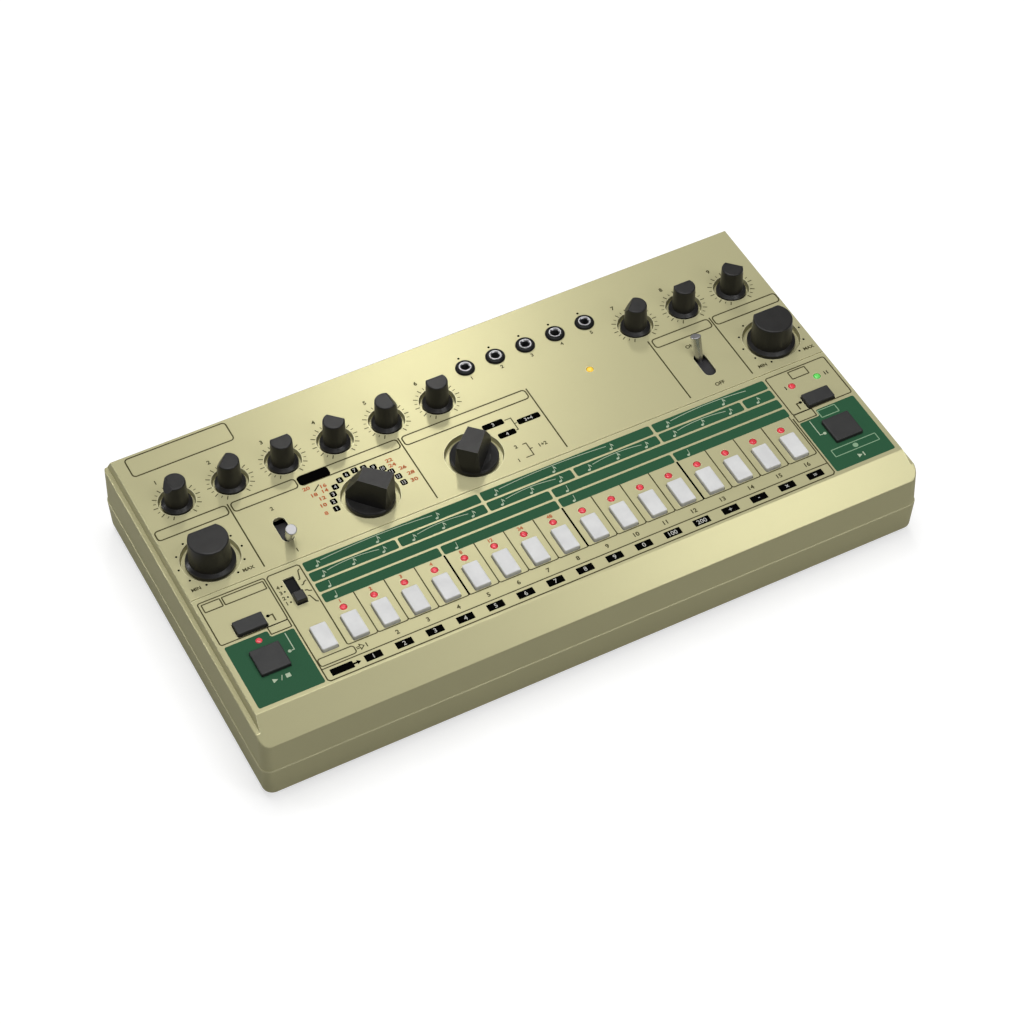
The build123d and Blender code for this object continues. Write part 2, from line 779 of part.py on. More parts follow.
def round_knob(skirt_radius, neck_radius, neck_rise, top_radius, facet_offset, facet_drop):
    """Skirted dial with a sloping pointer facet that faces +X."""
    outline = [
        (0, panel_z - skirt_sink), (skirt_radius, panel_z - skirt_sink),
        (skirt_radius, panel_z - skirt_edge_sink), (neck_radius, panel_z + neck_rise),
        (top_radius, knob_top_z), (0, knob_top_z),
    ]
    knob = turned(outline)
    facet_foot = body_radius(neck_radius, top_radius, neck_rise, knob_rise - facet_drop)
    slope = facet_drop / (facet_foot - facet_offset)
    reach = skirt_radius - facet_offset
    wedge = make_face(Plane.XZ * Polyline(
        (facet_offset, knob_top_z), (facet_offset + reach, knob_top_z - reach * slope),
        (facet_offset + reach, knob_top_z + 1), (facet_offset, knob_top_z + 1), close=True))
    knob -= extrude(wedge, skirt_radius, both=True)
    knob = fillet(edges_at(knob, knob_top_z), knob_top_round)
    return shaft_socket(knob)


def selector_knob():
    """Dished round skirt under a tapering grip bar that points along +X."""
    base_z, edge_z = panel_z - skirt_sink, panel_z - skirt_edge_sink
    top_z = panel_z + grip_rise
    dish_z = panel_z - dish_depth
    skirt = turned([
        (0, base_z), (large_skirt_radius, base_z), (large_skirt_radius, edge_z),
        (dish_lip_radius, panel_z), (dish_floor_radius, dish_z), (0, dish_z),
    ])
    height = top_z - base_z
    blunt, nose = grip_foot_half_widths
    plan = make_face(Plane.XY.offset(base_z) * Polyline(
        (-grip_foot_half_length, -blunt), (grip_foot_half_length, -nose),
        (grip_foot_half_length, nose), (-grip_foot_half_length, blunt), close=True))
    bar = extrude(plan, height, taper=math.degrees(math.atan2(grip_draft, height)))
    far = 2 * large_skirt_radius
    ramp_slope = (grip_rise - grip_ramp_foot_rise) / (grip_ramp_end - grip_ramp_start)
    ramp = make_face(Plane.XZ * Polyline(
        (grip_ramp_start, top_z), (far, top_z - (far - grip_ramp_start) * ramp_slope),
        (far, top_z + 1), (grip_ramp_start, top_z + 1), close=True))
    bar -= extrude(ramp, far, both=True)
    bar &= upright(0, 0, large_skirt_radius - grip_skirt_gap, base_z, top_z)
    return shaft_socket(skirt + bar)


def placed_control(knob, bushing_top_z, x, y, angle):
    """Knob and shaft turned to a pointer angle on their own axis."""
    return [Pos(x, y, 0) * Rot(0, 0, angle) * piece for piece in (knob, shaft(bushing_top_z))]


def pot_bushing_top():
    """Height of the top of a potentiometer's bushing."""
    return board_top_z + pot_height + bushing_height


def rotary_bushing_top():
    """Height of the top of a rotary switch's bushing."""
    return board_top_z + rotary_switch_height + bushing_height


def make_pots():
    """Potentiometers of the eleven dials."""
    places = [(x, small_knob_y) for x in small_knob_x]
    places += [(left_column_x, large_knob_y), (right_column_x, large_knob_y)]
    pots = []
    for x, y in places:
        pot = block((x - pot_size / 2, x + pot_size / 2), (y - pot_size / 2, y + pot_size / 2),
                    (board_top_z, board_top_z + pot_height))
        pot += upright(x, y, bushing_radius, board_top_z + pot_height, pot_bushing_top())
        bore = upright(x, y, shaft_radius + running_clearance,
                       pot_bushing_top() - shaft_engagement, pot_bushing_top() + 1)
        pots.append(one_solid(pot - bore))
    return pots


def make_rotary_switches():
    """Rotary switches under the two selector knobs."""
    switches = []
    for x in (instrument_x, mode_x):
        top = board_top_z + rotary_switch_height
        switch = upright(x, large_knob_y, rotary_switch_radius, board_top_z, top)
        switch += upright(x, large_knob_y, bushing_radius, top, rotary_bushing_top())
        bore = upright(x, large_knob_y, shaft_radius + running_clearance,
                       rotary_bushing_top() - shaft_engagement, rotary_bushing_top() + 1)
        switches.append(one_solid(switch - bore))
    return switches


# ---------------------------------------------------------------- toggles and slider
def lever_hub():
    """Round hub on a cross pin, both along X, at the lever's pivot."""
    hub = Rot(0, 90, 0) * Cylinder(toggle_hub_radius, 2 * toggle_hub_half_length)
    return hub + Rot(0, 90, 0) * Cylinder(toggle_pin_radius, 2 * toggle_pin_half_length)


def toggle_lever():
    """Turned lever that swells to a flat tip, with the curved dust shield round its stem."""
    stem = Pos(0, 0, lever_length / 2) * Cone(lever_neck_radius, lever_tip_radius, lever_length)
    stem = fillet(edges_at(stem, lever_length), lever_tip_edge)
    arch = Rot(0, 90, 0) * Cylinder(shield_radius, 2 * shield_half_width)
    arch -= Rot(0, 90, 0) * Cylinder(shield_radius - shield_thickness, 4 * shield_half_width)
    reach = 2 * shield_radius
    spread = reach * math.tan(math.radians(shield_half_angle))
    sector = make_face(Plane.YZ * Polyline((0, 0), (spread, reach), (-spread, reach), close=True))
    arch &= extrude(sector, reach, both=True)
    return one_solid(lever_hub() + stem + arch)


def placed_lever(lever, side, lean):
    """Lever on its pivot; a positive lean tips it towards the player."""
    return Pos(side * toggle_x, toggle_y, toggle_pivot_z) * Rot(lean, 0, 0) * lever


def make_toggle_switches():
    """Switch bodies that carry the two levers on their cross pins."""
    switches = []
    for side in (-1, 1):
        x = side * toggle_x
        half_x, half_y = toggle_body_size[0] / 2, toggle_body_size[1] / 2
        top = toggle_pivot_z + toggle_body_rise
        slot_half = toggle_hub_half_length + toggle_body_side_gap
        lean = math.radians(toggle_lean)
        swing = toggle_body_rise * math.tan(lean) + (toggle_hub_radius / math.cos(lean))
        body = block((x - half_x, x + half_x), (toggle_y - half_y, toggle_y + half_y),
                     (board_top_z, top))
        body -= block((x - slot_half, x + slot_half),
                      (toggle_y - swing - air_gap, toggle_y + swing + air_gap),
                      (toggle_pivot_z - toggle_hub_radius - air_gap, top + 1))
        pin = Cylinder(toggle_pin_radius + running_clearance,
                       2 * (toggle_pin_half_length + seat_clearance))
        switches.append(one_solid(body - Pos(x, toggle_y, toggle_pivot_z) * Rot(0, 90, 0) * pin))
    return switches


def make_slide_cap():
    """Cap of the slide switch on a flat dust shield, with the stem that enters the switch."""
    low = slot_under_z - slide_gap - shield_thickness
    cap = block((-slide_cap_width / 2, slide_cap_width / 2),
                (-slide_cap_length / 2, slide_cap_length / 2), (low, panel_z + slide_cap_rise))
    cap = fillet(edges_at(cap, panel_z + slide_cap_rise), button_edge_round)
    shield = block((-slide_shield_half_width, slide_shield_half_width),
                   (-slide_shield_reach, slide_shield_reach), (low, low + shield_thickness))
    stem_low = board_top_z + slide_body_height - slide_stem_engagement
    stem = block((-slide_stem_width / 2, slide_stem_width / 2),
                 (-slide_stem_length / 2, slide_stem_length / 2), (stem_low, low))
    return Pos(slide_x, slide_rest_y, 0) * one_solid(cap + shield + stem)


def make_slide_switch():
    """Slide switch body with the groove that guides the cap's stem."""
    top = board_top_z + slide_body_height
    far_y = slide_rest_y + slide_travel
    half_x = slide_body_width / 2
    body = block((slide_x - half_x, slide_x + half_x),
                 (slide_rest_y - slide_body_end, far_y + slide_body_end), (board_top_z, top))
    groove_half = slide_stem_width / 2 + slide_side_gap
    groove = block((slide_x - groove_half, slide_x + groove_half),
                   (slide_rest_y - slide_stem_length / 2 - slide_side_gap,
                    far_y + slide_stem_length / 2 + slide_side_gap),
                   (top - slide_stem_engagement - plunger_gap, top + 1))
    return one_solid(body - groove)


# ---------------------------------------------------------------- buttons
def button_nodes():
    """Name, place and size of every push button."""
    nodes = [("function_button", column_x[0], button_row_y, button_short, button_long)]
    nodes += [(f"step_button_{i:02d}", column_x[i], button_row_y, button_short, button_long)
              for i in range(1, step_count + 1)]
    nodes += [
        ("clear_button", -side_button_x, small_button_y, button_long, button_short),
        ("start_stop_button", -side_button_x, large_button_y, button_long, button_long),
        ("pattern_group_button", side_button_x, small_button_y, button_long, button_short),
        ("write_button", side_button_x, large_button_y, button_long, button_long),
    ]
    return nodes


def button_places():
    """Place and size of every push button."""
    return [node[1:] for node in button_nodes()]


def make_button(x, y, size_x, size_y):
    """Key cap, the flange that stops it under the panel and its stem."""
    cap = rounded_block(x, y, panel_under_z, panel_z + button_rise, size_x, size_y,
                        button_corner_round)
    cap = fillet(edges_at(cap, panel_z + button_rise), button_edge_round)
    flange = rounded_block(x, y, panel_under_z - flange_thickness, panel_under_z,
                           size_x + 2 * flange_overhang, size_y + 2 * flange_overhang,
                           button_corner_round + flange_overhang)
    stem = upright(x, y, stem_radius, plunger_top_z + button_travel + plunger_gap,
                   panel_under_z - flange_thickness)
    return one_solid(cap + flange + stem)


def make_tact_switches():
    """Tactile switches, one under each button."""
    switches = []
    for x, y, _, _ in button_places():
        body = block((x - tact_size / 2, x + tact_size / 2), (y - tact_size / 2, y + tact_size / 2),
                     (board_top_z, board_top_z + tact_height))
        plunger = upright(x, y, plunger_radius, board_top_z + tact_height, plunger_top_z)
        switches.append(one_solid(body + plunger))
    return switches


# ---------------------------------------------------------------- lamps
def red_lamp_places():
    """Red lamps: one per step, the start lamp and the first group lamp."""
    places = [(x, lamp_row_y) for x in column_x[1:]]
    return places + [(left_column_x, start_lamp_y),
                     (side_button_x - group_lamp_offset, group_lamp_y)]


def green_lamp_place():
    """Second group lamp."""
    return (side_button_x + group_lamp_offset, group_lamp_y)


def lamp_places():
    """Every lamp on the panel."""
    return red_lamp_places() + [green_lamp_place(), power_lamp]


def make_lamp(x, y):
    """Domed lamp with a flange under the panel and two leads down to the board."""
    top = panel_z + lamp_rise
    bottom = top - lamp_length
    lens = upright(x, y, lamp_radius, bottom, top)
    lens = fillet(edges_at(lens, top), lamp_radius * 0.6)
    lens += upright(x, y, lamp_flange_radius, bottom, bottom + lamp_flange_height)
    for side in (-1, 1):
        lead_x = x + side * lamp_lead_spacing / 2
        half = lamp_lead_size / 2
        lens += block((lead_x - half, lead_x + half), (y - half, y + half), (board_top_z, bottom))
    return one_solid(lens)


# ---------------------------------------------------------------- sockets
def make_top_jacks():
    """Upright mini jacks: body on the board and ring through the panel."""
    jacks = []
    size_x, size_y = jack_body_size
    for x in jack_x:
        jack = block((x - size_x / 2, x + size_x / 2), (jack_y - size_y / 2, jack_y + size_y / 2),
                     (board_top_z, panel_under_z - seat_clearance))
        ring_top = panel_z + jack_ring_rise
        jack += upright(x, jack_y, jack_ring_radius, panel_under_z - seat_clearance, ring_top)
        jack -= upright(x, jack_y, jack_bore_radius, ring_top - jack_bore_depth, ring_top + 1)
        jack -= Pos(x, jack_y, ring_top - jack_mouth_chamfer / 2) * Cone(
            jack_bore_radius, jack_bore_radius + jack_mouth_chamfer, jack_mouth_chamfer)
        jacks.append(one_solid(jack))
    return jacks


def make_collars():
    """Black domed nuts round the mini jacks."""
    collars = []
    for x in jack_x:
        collar = upright(x, jack_y, collar_radius, panel_z, panel_z + collar_rise)
        collar = fillet(edges_at(collar, panel_z + collar_rise), collar_round)
        collar -= upright(x, jack_y, jack_ring_radius + running_clearance, panel_z - 1,
                          panel_z + 2 * collar_rise)
        collars.append(one_solid(collar))
    return collars


def make_din_sockets():
    """Five-pin round sockets on the connector board."""
    sockets = []
    size, depth = din_body
    for x in midi_x:
        back = plate_inner_y - seat_clearance
        face = recess_floor_y + din_proud
        socket = block((x - size / 2, x + size / 2), (back - depth, back),
                       (io_board_top_z, socket_axis_z + size / 2))
        socket += lying(x, socket_axis_z, din_ring_radius, back, face)
        socket -= lying(x, socket_axis_z, din_recess_radius, face - din_recess_depth, face + 1)
        for i in range(5):
            angle = math.radians(180 + 45 * i)
            socket -= lying(x + din_pin_circle * math.cos(angle),
                            socket_axis_z + din_pin_circle * math.sin(angle), din_pin_radius,
                            face - din_recess_depth - din_pin_depth, face)
        sockets.append(one_solid(socket))
    return sockets


def make_usb_socket():
    """Square data socket with its tongue."""
    size_x, size_z, depth = usb_body
    axis_z = io_board_top_z + size_z / 2
    face = recess_floor_y + usb_proud
    socket = block((usb_x - size_x / 2, usb_x + size_x / 2), (face - depth, face),
                   (io_board_top_z, io_board_top_z + size_z))
    open_x, open_z = usb_opening
    socket -= block((usb_x - open_x / 2, usb_x + open_x / 2), (face - usb_depth, face + 1),
                    (axis_z - open_z / 2, axis_z + open_z / 2))
    tongue_x, tongue_z = usb_tongue
    socket += block((usb_x - tongue_x / 2, usb_x + tongue_x / 2),
                    (face - usb_depth - 1, face - usb_tongue_setback),
                    (axis_z - tongue_z / 2, axis_z + tongue_z / 2))
    return one_solid(socket)


def make_dc_socket():
    """Round power inlet with its centre pin."""
    size_x, size_z, depth = dc_body
    axis_z = io_board_top_z + size_z / 2
    face = recess_floor_y + dc_proud
    socket = block((dc_x - size_x / 2, dc_x + size_x / 2), (face - depth, face),
                   (io_board_top_z, io_board_top_z + size_z))
    seat = face - dc_bore_depth
    socket -= lying(dc_x, axis_z, dc_bore_radius, seat, face + 1)
    socket -= lying(dc_x, axis_z, dc_inner_radius, seat - dc_inner_depth, seat + 1)
    socket += lying(dc_x, axis_z, dc_pin_radius, seat - dc_inner_depth - 1, seat)
    return one_solid(socket)


def make_output_jack():
    """Large jack on the connector board and the nut that clamps it to the plate."""
    width, depth = output_body
    back = plate_inner_y - seat_clearance
    face = recess_floor_y + output_proud
    jack = block((output_x - width / 2, output_x + width / 2), (back - depth, back),
                 (io_board_top_z, socket_axis_z + width / 2))
    jack += lying(output_x, socket_axis_z, output_thread_radius, back, face)
    jack -= lying(output_x, socket_axis_z, output_bore_radius, face - output_bore_depth, face + 1)
    nut = extrude(RegularPolygon(output_nut_across / 2, 6, major_radius=False),
                  output_nut_thickness)
    nut -= extrude(Circle(output_thread_radius + running_clearance), output_nut_thickness)
    nut = Pos(output_x, recess_floor_y, socket_axis_z) * Rot(-90, 0, 0) * nut
    return [one_solid(jack), one_solid(nut)]


def make_power_switch():
    """Body and bezel of the power switch, open for the rocker."""
    bezel_x, bezel_z, bezel_y = switch_bezel
    size_x, size_z, depth = switch_body
    face = recess_floor_y + bezel_y
    body = block((power_x - bezel_x / 2, power_x + bezel_x / 2), (recess_floor_y, face),
                 (socket_axis_z - bezel_z / 2, socket_axis_z + bezel_z / 2))
    body = fillet(body.edges().filter_by(Axis.Y), bezel_y)
    body += block((power_x - size_x / 2, power_x + size_x / 2), (face - depth, recess_floor_y),
                  (socket_axis_z - size_z / 2, socket_axis_z + size_z / 2))
    reach = math.hypot(rocker_half_length, rocker_end_rise) + rocker_gap
    body -= block((power_x - reach, power_x + reach),
                  (rocker_pivot_y() - rocker_depth - rocker_half_length / 2, face + 1),
                  (socket_axis_z - rocker_half_height - rocker_gap,
                   socket_axis_z + rocker_half_height + rocker_gap))
    pin_half = rocker_half_height + rocker_pin_reach + rocker_gap
    return one_solid(body - Pos(power_x, rocker_pivot_y(), socket_axis_z) * Cylinder(
        rocker_pin_radius + running_clearance, 2 * pin_half))


def rocker_pivot_y():
    """Depth of the rocker's upright pivot."""
    return recess_floor_y - rocker_pivot_sink


def make_rocker():
    """Rocker of the power switch on its upright pin, pressed in at the +X end."""
    rocker = make_face(Polyline(
        (-rocker_half_length, rocker_end_rise), (0, rocker_middle_rise),
        (rocker_half_length, rocker_end_rise), (rocker_half_length, -rocker_end_rise),
        (0, -rocker_depth), (-rocker_half_length, -rocker_end_rise), close=True))
    rocker = extrude(rocker, rocker_half_height, both=True)
    rocker += Cylinder(rocker_pin_radius, 2 * (rocker_half_height + rocker_pin_reach))
    return Pos(power_x, rocker_pivot_y(), socket_axis_z) * Rot(0, 0, -rocker_lean) * one_solid(rocker)


# ---------------------------------------------------------------- all nodes
def save_rotary_nodes():
    """Every dial and selector in its own node."""
    small = round_knob(small_skirt_radius, small_neck_radius, small_neck_rise, small_top_radius,
                       small_facet_offset, small_facet_drop)
    large = round_knob(large_skirt_radius, large_neck_radius, large_neck_rise, large_top_radius,
                       large_facet_offset, large_facet_drop)
    selector = selector_knob()
    pot_top, rotary_top = pot_bushing_top(), rotary_bushing_top()
    for i, x in enumerate(voice_knob_x):
        save(f"voice_knob_{i + 1}",
             placed_control(small, pot_top, x, small_knob_y, voice_pointer_angles[i]))
    for i, x in enumerate(output_knob_x):
        save(f"output_knob_{i + 1}",
             placed_control(small, pot_top, x, small_knob_y, output_pointer_angles[i]))
    save("tempo_knob",
         placed_control(large, pot_top, left_column_x, large_knob_y, tempo_pointer_angle))
    save("volume_knob",
         placed_control(large, pot_top, right_column_x, large_knob_y, volume_pointer_angle))
    save("instrument_selector_knob", placed_control(
        selector, rotary_top, instrument_x, large_knob_y, instrument_pointer_angle))
    save("mode_selector_knob",
         placed_control(selector, rotary_top, mode_x, large_knob_y, mode_pointer_angle))
    save("potentiometer_bodies", make_pots())
    save("rotary_switch_bodies", make_rotary_switches())


def save_switch_nodes():
    """Toggles, slider, buttons and the power switch."""
    save("variant_toggle_lever", [placed_lever(toggle_lever(), -1, toggle_lean)])
    save("drive_toggle_lever", [placed_lever(toggle_lever(), 1, -toggle_lean)])
    save("toggle_switch_bodies", make_toggle_switches())
    save("scale_slide_cap", [make_slide_cap()])
    save("slide_switch_body", [make_slide_switch()])
    for name, x, y, size_x, size_y in button_nodes():
        save(name, [make_button(x, y, size_x, size_y)])
    save("tact_switches", make_tact_switches())
    save("power_switch_body", [make_power_switch()])
    save("power_rocker", [make_rocker()])


def save_fixed_nodes():
    """Case, boards, lamps, sockets and fasteners."""
    save("top_shell", [make_top_shell()])
    save("bottom_shell", [make_bottom_shell()])
    save("panel_board", [make_panel_board()])
    save("connector_board", [make_connector_board()])
    save("ribbon_cable", make_ribbon())
    save("red_lamps", [make_lamp(x, y) for x, y in red_lamp_places()])
    save("green_lamp", [make_lamp(*green_lamp_place())])
    save("yellow_lamp", [make_lamp(*power_lamp)])
    save("mini_jack_sockets", make_top_jacks())
    save("mini_jack_collars", make_collars())
    save("midi_sockets", make_din_sockets())
    save("usb_socket", [make_usb_socket()])
    save("dc_inlet", [make_dc_socket()])
    save("output_jack", make_output_jack())
    save("case_screws", make_screws())
    save("rubber_feet", make_feet())


save_rotary_nodes()
save_switch_nodes()
save_fixed_nodes()
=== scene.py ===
import json
import math
import bmesh
import bpy
from mathutils import Matrix, Vector


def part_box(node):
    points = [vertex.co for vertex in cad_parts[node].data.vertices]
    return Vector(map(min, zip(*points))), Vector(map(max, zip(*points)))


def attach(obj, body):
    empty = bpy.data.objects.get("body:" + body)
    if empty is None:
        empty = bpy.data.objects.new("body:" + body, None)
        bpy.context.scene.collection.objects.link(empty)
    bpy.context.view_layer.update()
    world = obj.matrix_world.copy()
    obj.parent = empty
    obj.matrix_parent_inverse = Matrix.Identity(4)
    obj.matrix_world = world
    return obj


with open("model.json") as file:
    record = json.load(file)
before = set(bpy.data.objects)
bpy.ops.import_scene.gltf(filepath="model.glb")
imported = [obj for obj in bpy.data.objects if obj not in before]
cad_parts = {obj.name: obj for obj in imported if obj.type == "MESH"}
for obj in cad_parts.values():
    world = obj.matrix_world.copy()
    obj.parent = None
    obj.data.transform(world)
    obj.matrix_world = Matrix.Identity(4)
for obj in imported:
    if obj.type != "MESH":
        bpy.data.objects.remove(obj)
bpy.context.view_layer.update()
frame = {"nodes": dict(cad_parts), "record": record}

scene = bpy.context.scene
nodes = frame["nodes"]
MM = 0.001

panel_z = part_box("top_shell")[1].z

# Columns and rows of the panel, in mm.
COLUMN_PITCH = 13.63
KNOB_PITCH = 24.1455
JACK_PITCH = 14.6
LEFT_X, RIGHT_X = -132.6, 133.0
SMALL_Y, LARGE_Y = 44.55, 10.0
INSTRUMENT_X = LEFT_X + 3 * KNOB_PITCH
JACK_X = [LEFT_X + 7 * KNOB_PITCH + (i - 2) * JACK_PITCH for i in range(5)]
STEPS = range(1, 17)


def column(i):
    """Middle of a column of buttons: 0 is the function button, 1 to 16 are the steps."""
    return (i - 8) * COLUMN_PITCH


# ---------------------------------------------------------------- materials

class Nodes:
    """A material's node tree, built call by call."""

    def __init__(self, name):
        self.material = bpy.data.materials.new(name)
        self.material.use_nodes = True
        self.tree = self.material.node_tree
        self.tree.nodes.clear()
        self.out = self.add("ShaderNodeOutputMaterial")
        self.shader = self.add("ShaderNodeBsdfPrincipled")
        self.link(self.shader.outputs[0], self.out.inputs["Surface"])
        self.place = self.add("ShaderNodeTexCoord").outputs["Object"]

    def add(self, kind, **values):
        node = self.tree.nodes.new(kind)
        for key, value in values.items():
            setattr(node, key, value)
        return node

    def link(self, a, b):
        self.tree.links.new(a, b)

    def set(self, **values):
        for key, value in values.items():
            self.shader.inputs[key.replace("_", " ")].default_value = value

    def noise(self, scale, detail, stretch=None):
        node = self.add("ShaderNodeTexNoise")
        node.inputs["Scale"].default_value = scale
        node.inputs["Detail"].default_value = detail
        source = self.place
        if stretch:
            mapping = self.add("ShaderNodeMapping")
            mapping.inputs["Scale"].default_value = stretch
            self.link(source, mapping.inputs["Vector"])
            source = mapping.outputs["Vector"]
        self.link(source, node.inputs["Vector"])
        return node.outputs["Fac"]

    def ramp(self, source, low, high, start=0.3, end=0.7):
        """Low to high as the source goes from start to end, and level outside them."""
        node = self.add("ShaderNodeMapRange")
        node.inputs["From Min"].default_value = start
        node.inputs["From Max"].default_value = end
        node.inputs["To Min"].default_value = low
        node.inputs["To Max"].default_value = high
        self.link(source, node.inputs["Value"])
        return node.outputs["Result"]

    def blend(self, factor, a, b):
        """From a to b; each is a colour or a socket."""
        node = self.add("ShaderNodeMix", data_type="RGBA")
        self.link(factor, node.inputs["Factor"])
        for value, socket in ((a, "A"), (b, "B")):
            target = [s for s in node.inputs if s.name == socket and s.type == "RGBA"][0]
            if isinstance(value, tuple):
                target.default_value = (*value, 1.0)
            else:
                self.link(value, target)
        return [s for s in node.outputs if s.type == "RGBA"][0]

    def colour(self, source):
        self.link(source, self.shader.inputs["Base Color"])

    def rough(self, source):
        self.link(source, self.shader.inputs["Roughness"])

    def bump(self, *layers):
        """Each layer is (height source, height in metres)."""
        normal = None
        for source, height in layers:
            node = self.add("ShaderNodeBump")
            node.inputs["Strength"].default_value = 1.0
            node.inputs["Distance"].default_value = height
            self.link(source, node.inputs["Height"])
            if normal:
                self.link(normal, node.inputs["Normal"])
            normal = node.outputs["Normal"]
        self.link(normal, self.shader.inputs["Normal"])


def worn_edges(m, base, highlight_colour, radius=0.0006):
    """Painted highlight: edges painted a little lighter than the faces beside them, where rounded
    edges catch the light.
    """
    bevel = m.add("ShaderNodeBevel", samples=4)
    bevel.inputs["Radius"].default_value = radius
    geometry = m.add("ShaderNodeNewGeometry")
    dot = m.add("ShaderNodeVectorMath", operation="DOT_PRODUCT")
    m.link(bevel.outputs["Normal"], dot.inputs[0])
    m.link(geometry.outputs["Normal"], dot.inputs[1])
    return m.blend(m.ramp(dot.outputs["Value"], 1.0, 0.0, 0.86, 0.99), base, highlight_colour)


def champagne_paint():
    """Satin paint with a fine flake, slightly clouded, and with a painted highlight along its
    edges.
    """
    m = Nodes("champagne_paint")
    flake = m.noise(5200.0, 1.0)
    cloud = m.noise(34.0, 3.0)
    tone = m.blend(m.ramp(flake, 0.0, 1.0), (0.496, 0.468, 0.273), (0.512, 0.484, 0.282))
    tone = m.blend(m.ramp(cloud, 0.0, 0.30), tone, (0.488, 0.461, 0.269))
    # Edges painted lighter: a painted highlight on the rounded edges.
    m.colour(worn_edges(m, tone, (0.78, 0.75, 0.49), 0.0005))
    m.set(Metallic=0.25, IOR=1.5, Specular_IOR_Level=0.0)
    m.rough(m.ramp(m.noise(300.0, 2.0), 0.263, 0.270))
    m.bump((flake, 0.0000001), (m.noise(620.0, 2.0), 0.0000003))
    return m.material


def moulded(name, dark, light, roughness, grain=1500.0, height=0.000006, edges=None, level=0.5):
    """Moulded plastic or rubber with a fine grain; edges, if given, is the colour of a highlight
    painted on its edges.
    """
    m = Nodes(name)
    fine = m.noise(grain, 2.0)
    tone = m.blend(m.ramp(m.noise(160.0, 3.0), 0.0, 1.0), dark, light)
    if edges:
        # Painted highlight: the edges are painted lighter.
        tone = worn_edges(m, tone, edges)
    m.colour(tone)
    m.rough(m.ramp(fine, roughness - 0.05, roughness + 0.06))
    m.bump((fine, height))
    m.set(IOR=1.5, Specular_IOR_Level=level)
    return m.material


def bright_metal(name, dark, light, roughness, stretch, height=0.000002):
    """Bare metal with fine brush marks."""
    m = Nodes(name)
    brush = m.noise(700.0, 2.0, stretch=stretch)
    m.colour(m.blend(m.ramp(brush, 0.0, 1.0), dark, light))
    m.set(Metallic=1.0)
    m.rough(m.ramp(brush, roughness - 0.03, roughness + 0.05))
    m.bump((brush, height))
    return m.material


# Toggle levers: depth of the pivot under the panel, and distances from the pivot at which the
# dust shield starts and ends and the flat end of the lever begins, in metres.
PIVOT_DEPTH = 0.012
SHIELD_START = (0.01018, 0.01024)
SHIELD_END = (0.01092, 0.01098)
TIP_START = (0.02305, 0.02312)


def lever_chrome():
    """Drawn chrome lever, turned flat at its end, with a dull dark dust shield near its pivot; the
    light and dark streaks along its shaft are painted reflections.
    """
    m = Nodes("lever_chrome")
    # Light and dark streaks along the lever: painted reflections.
    reflection_streaks = m.noise(1.0, 1.0, stretch=(900.0, 12.0, 12.0))
    from_pivot = m.add("ShaderNodeMapping")
    from_pivot.inputs["Location"].default_value = (0.0, -LARGE_Y * MM, PIVOT_DEPTH - panel_z)
    from_pivot.inputs["Scale"].default_value = (0.0, 1.0, 1.0)
    m.link(m.place, from_pivot.inputs["Vector"])
    distance = m.add("ShaderNodeVectorMath", operation="LENGTH")
    m.link(from_pivot.outputs["Vector"], distance.inputs[0])
    past = m.ramp(distance.outputs["Value"], 0.0, 1.0, *SHIELD_START)
    short = m.ramp(distance.outputs["Value"], 1.0, 0.0, *SHIELD_END)
    both = m.add("ShaderNodeMath", operation="MULTIPLY")
    m.link(past, both.inputs[0])
    m.link(short, both.inputs[1])
    shield = both.outputs[0]
    tip = m.ramp(distance.outputs["Value"], 0.0, 1.0, *TIP_START)
    # Painted reflections: the streaks run from light to dark across the shaft.
    bright = m.blend(m.ramp(reflection_streaks, 0.0, 1.0, 0.40, 0.60), (0.50, 0.50, 0.51), (0.86, 0.86, 0.87))
    bright = m.blend(tip, bright, (0.42, 0.415, 0.42))
    grain = m.ramp(m.noise(1500.0, 2.0), 0.0, 1.0)
    dull = m.blend(grain, (0.016, 0.015, 0.016), (0.024, 0.023, 0.024))
    m.colour(m.blend(shield, bright, dull))
    m.link(m.ramp(shield, 1.0, 0.0, 0.0, 1.0), m.shader.inputs["Metallic"])
    dull_places = m.add("ShaderNodeMath", operation="MAXIMUM")
    m.link(shield, dull_places.inputs[0])
    m.link(tip, dull_places.inputs[1])
    m.rough(m.ramp(dull_places.outputs[0], 0.24, 0.55, 0.0, 1.0))
    m.bump((reflection_streaks, 0.0000003))
    m.set(IOR=1.5, Specular_IOR_Level=0.3)
    return m.material


def slide_black():
    """Slide cap: satin above the panel face; rougher on the dust plate under the slot, and painted
    much darker there as painted shade inside the slot.
    """
    m = Nodes("slide_black")
    cloud = m.ramp(m.noise(160.0, 3.0), 0.0, 1.0)
    tone = m.blend(cloud, (0.015, 0.0145, 0.014), (0.021, 0.020, 0.019))
    split = m.add("ShaderNodeSeparateXYZ")
    m.link(m.place, split.inputs[0])
    above = m.ramp(split.outputs["Z"], 0.0, 1.0, panel_z - 0.0006, panel_z - 0.0002)
    # Below the panel face the colour is painted near black: painted shade in the slot.
    m.colour(m.blend(above, (0.004, 0.004, 0.004), tone))
    m.rough(m.ramp(above, 0.80, 0.34, 0.0, 1.0))
    m.bump((m.noise(1500.0, 2.0), 0.000006))
    m.set(IOR=1.5, Specular_IOR_Level=0.29)
    return m.material


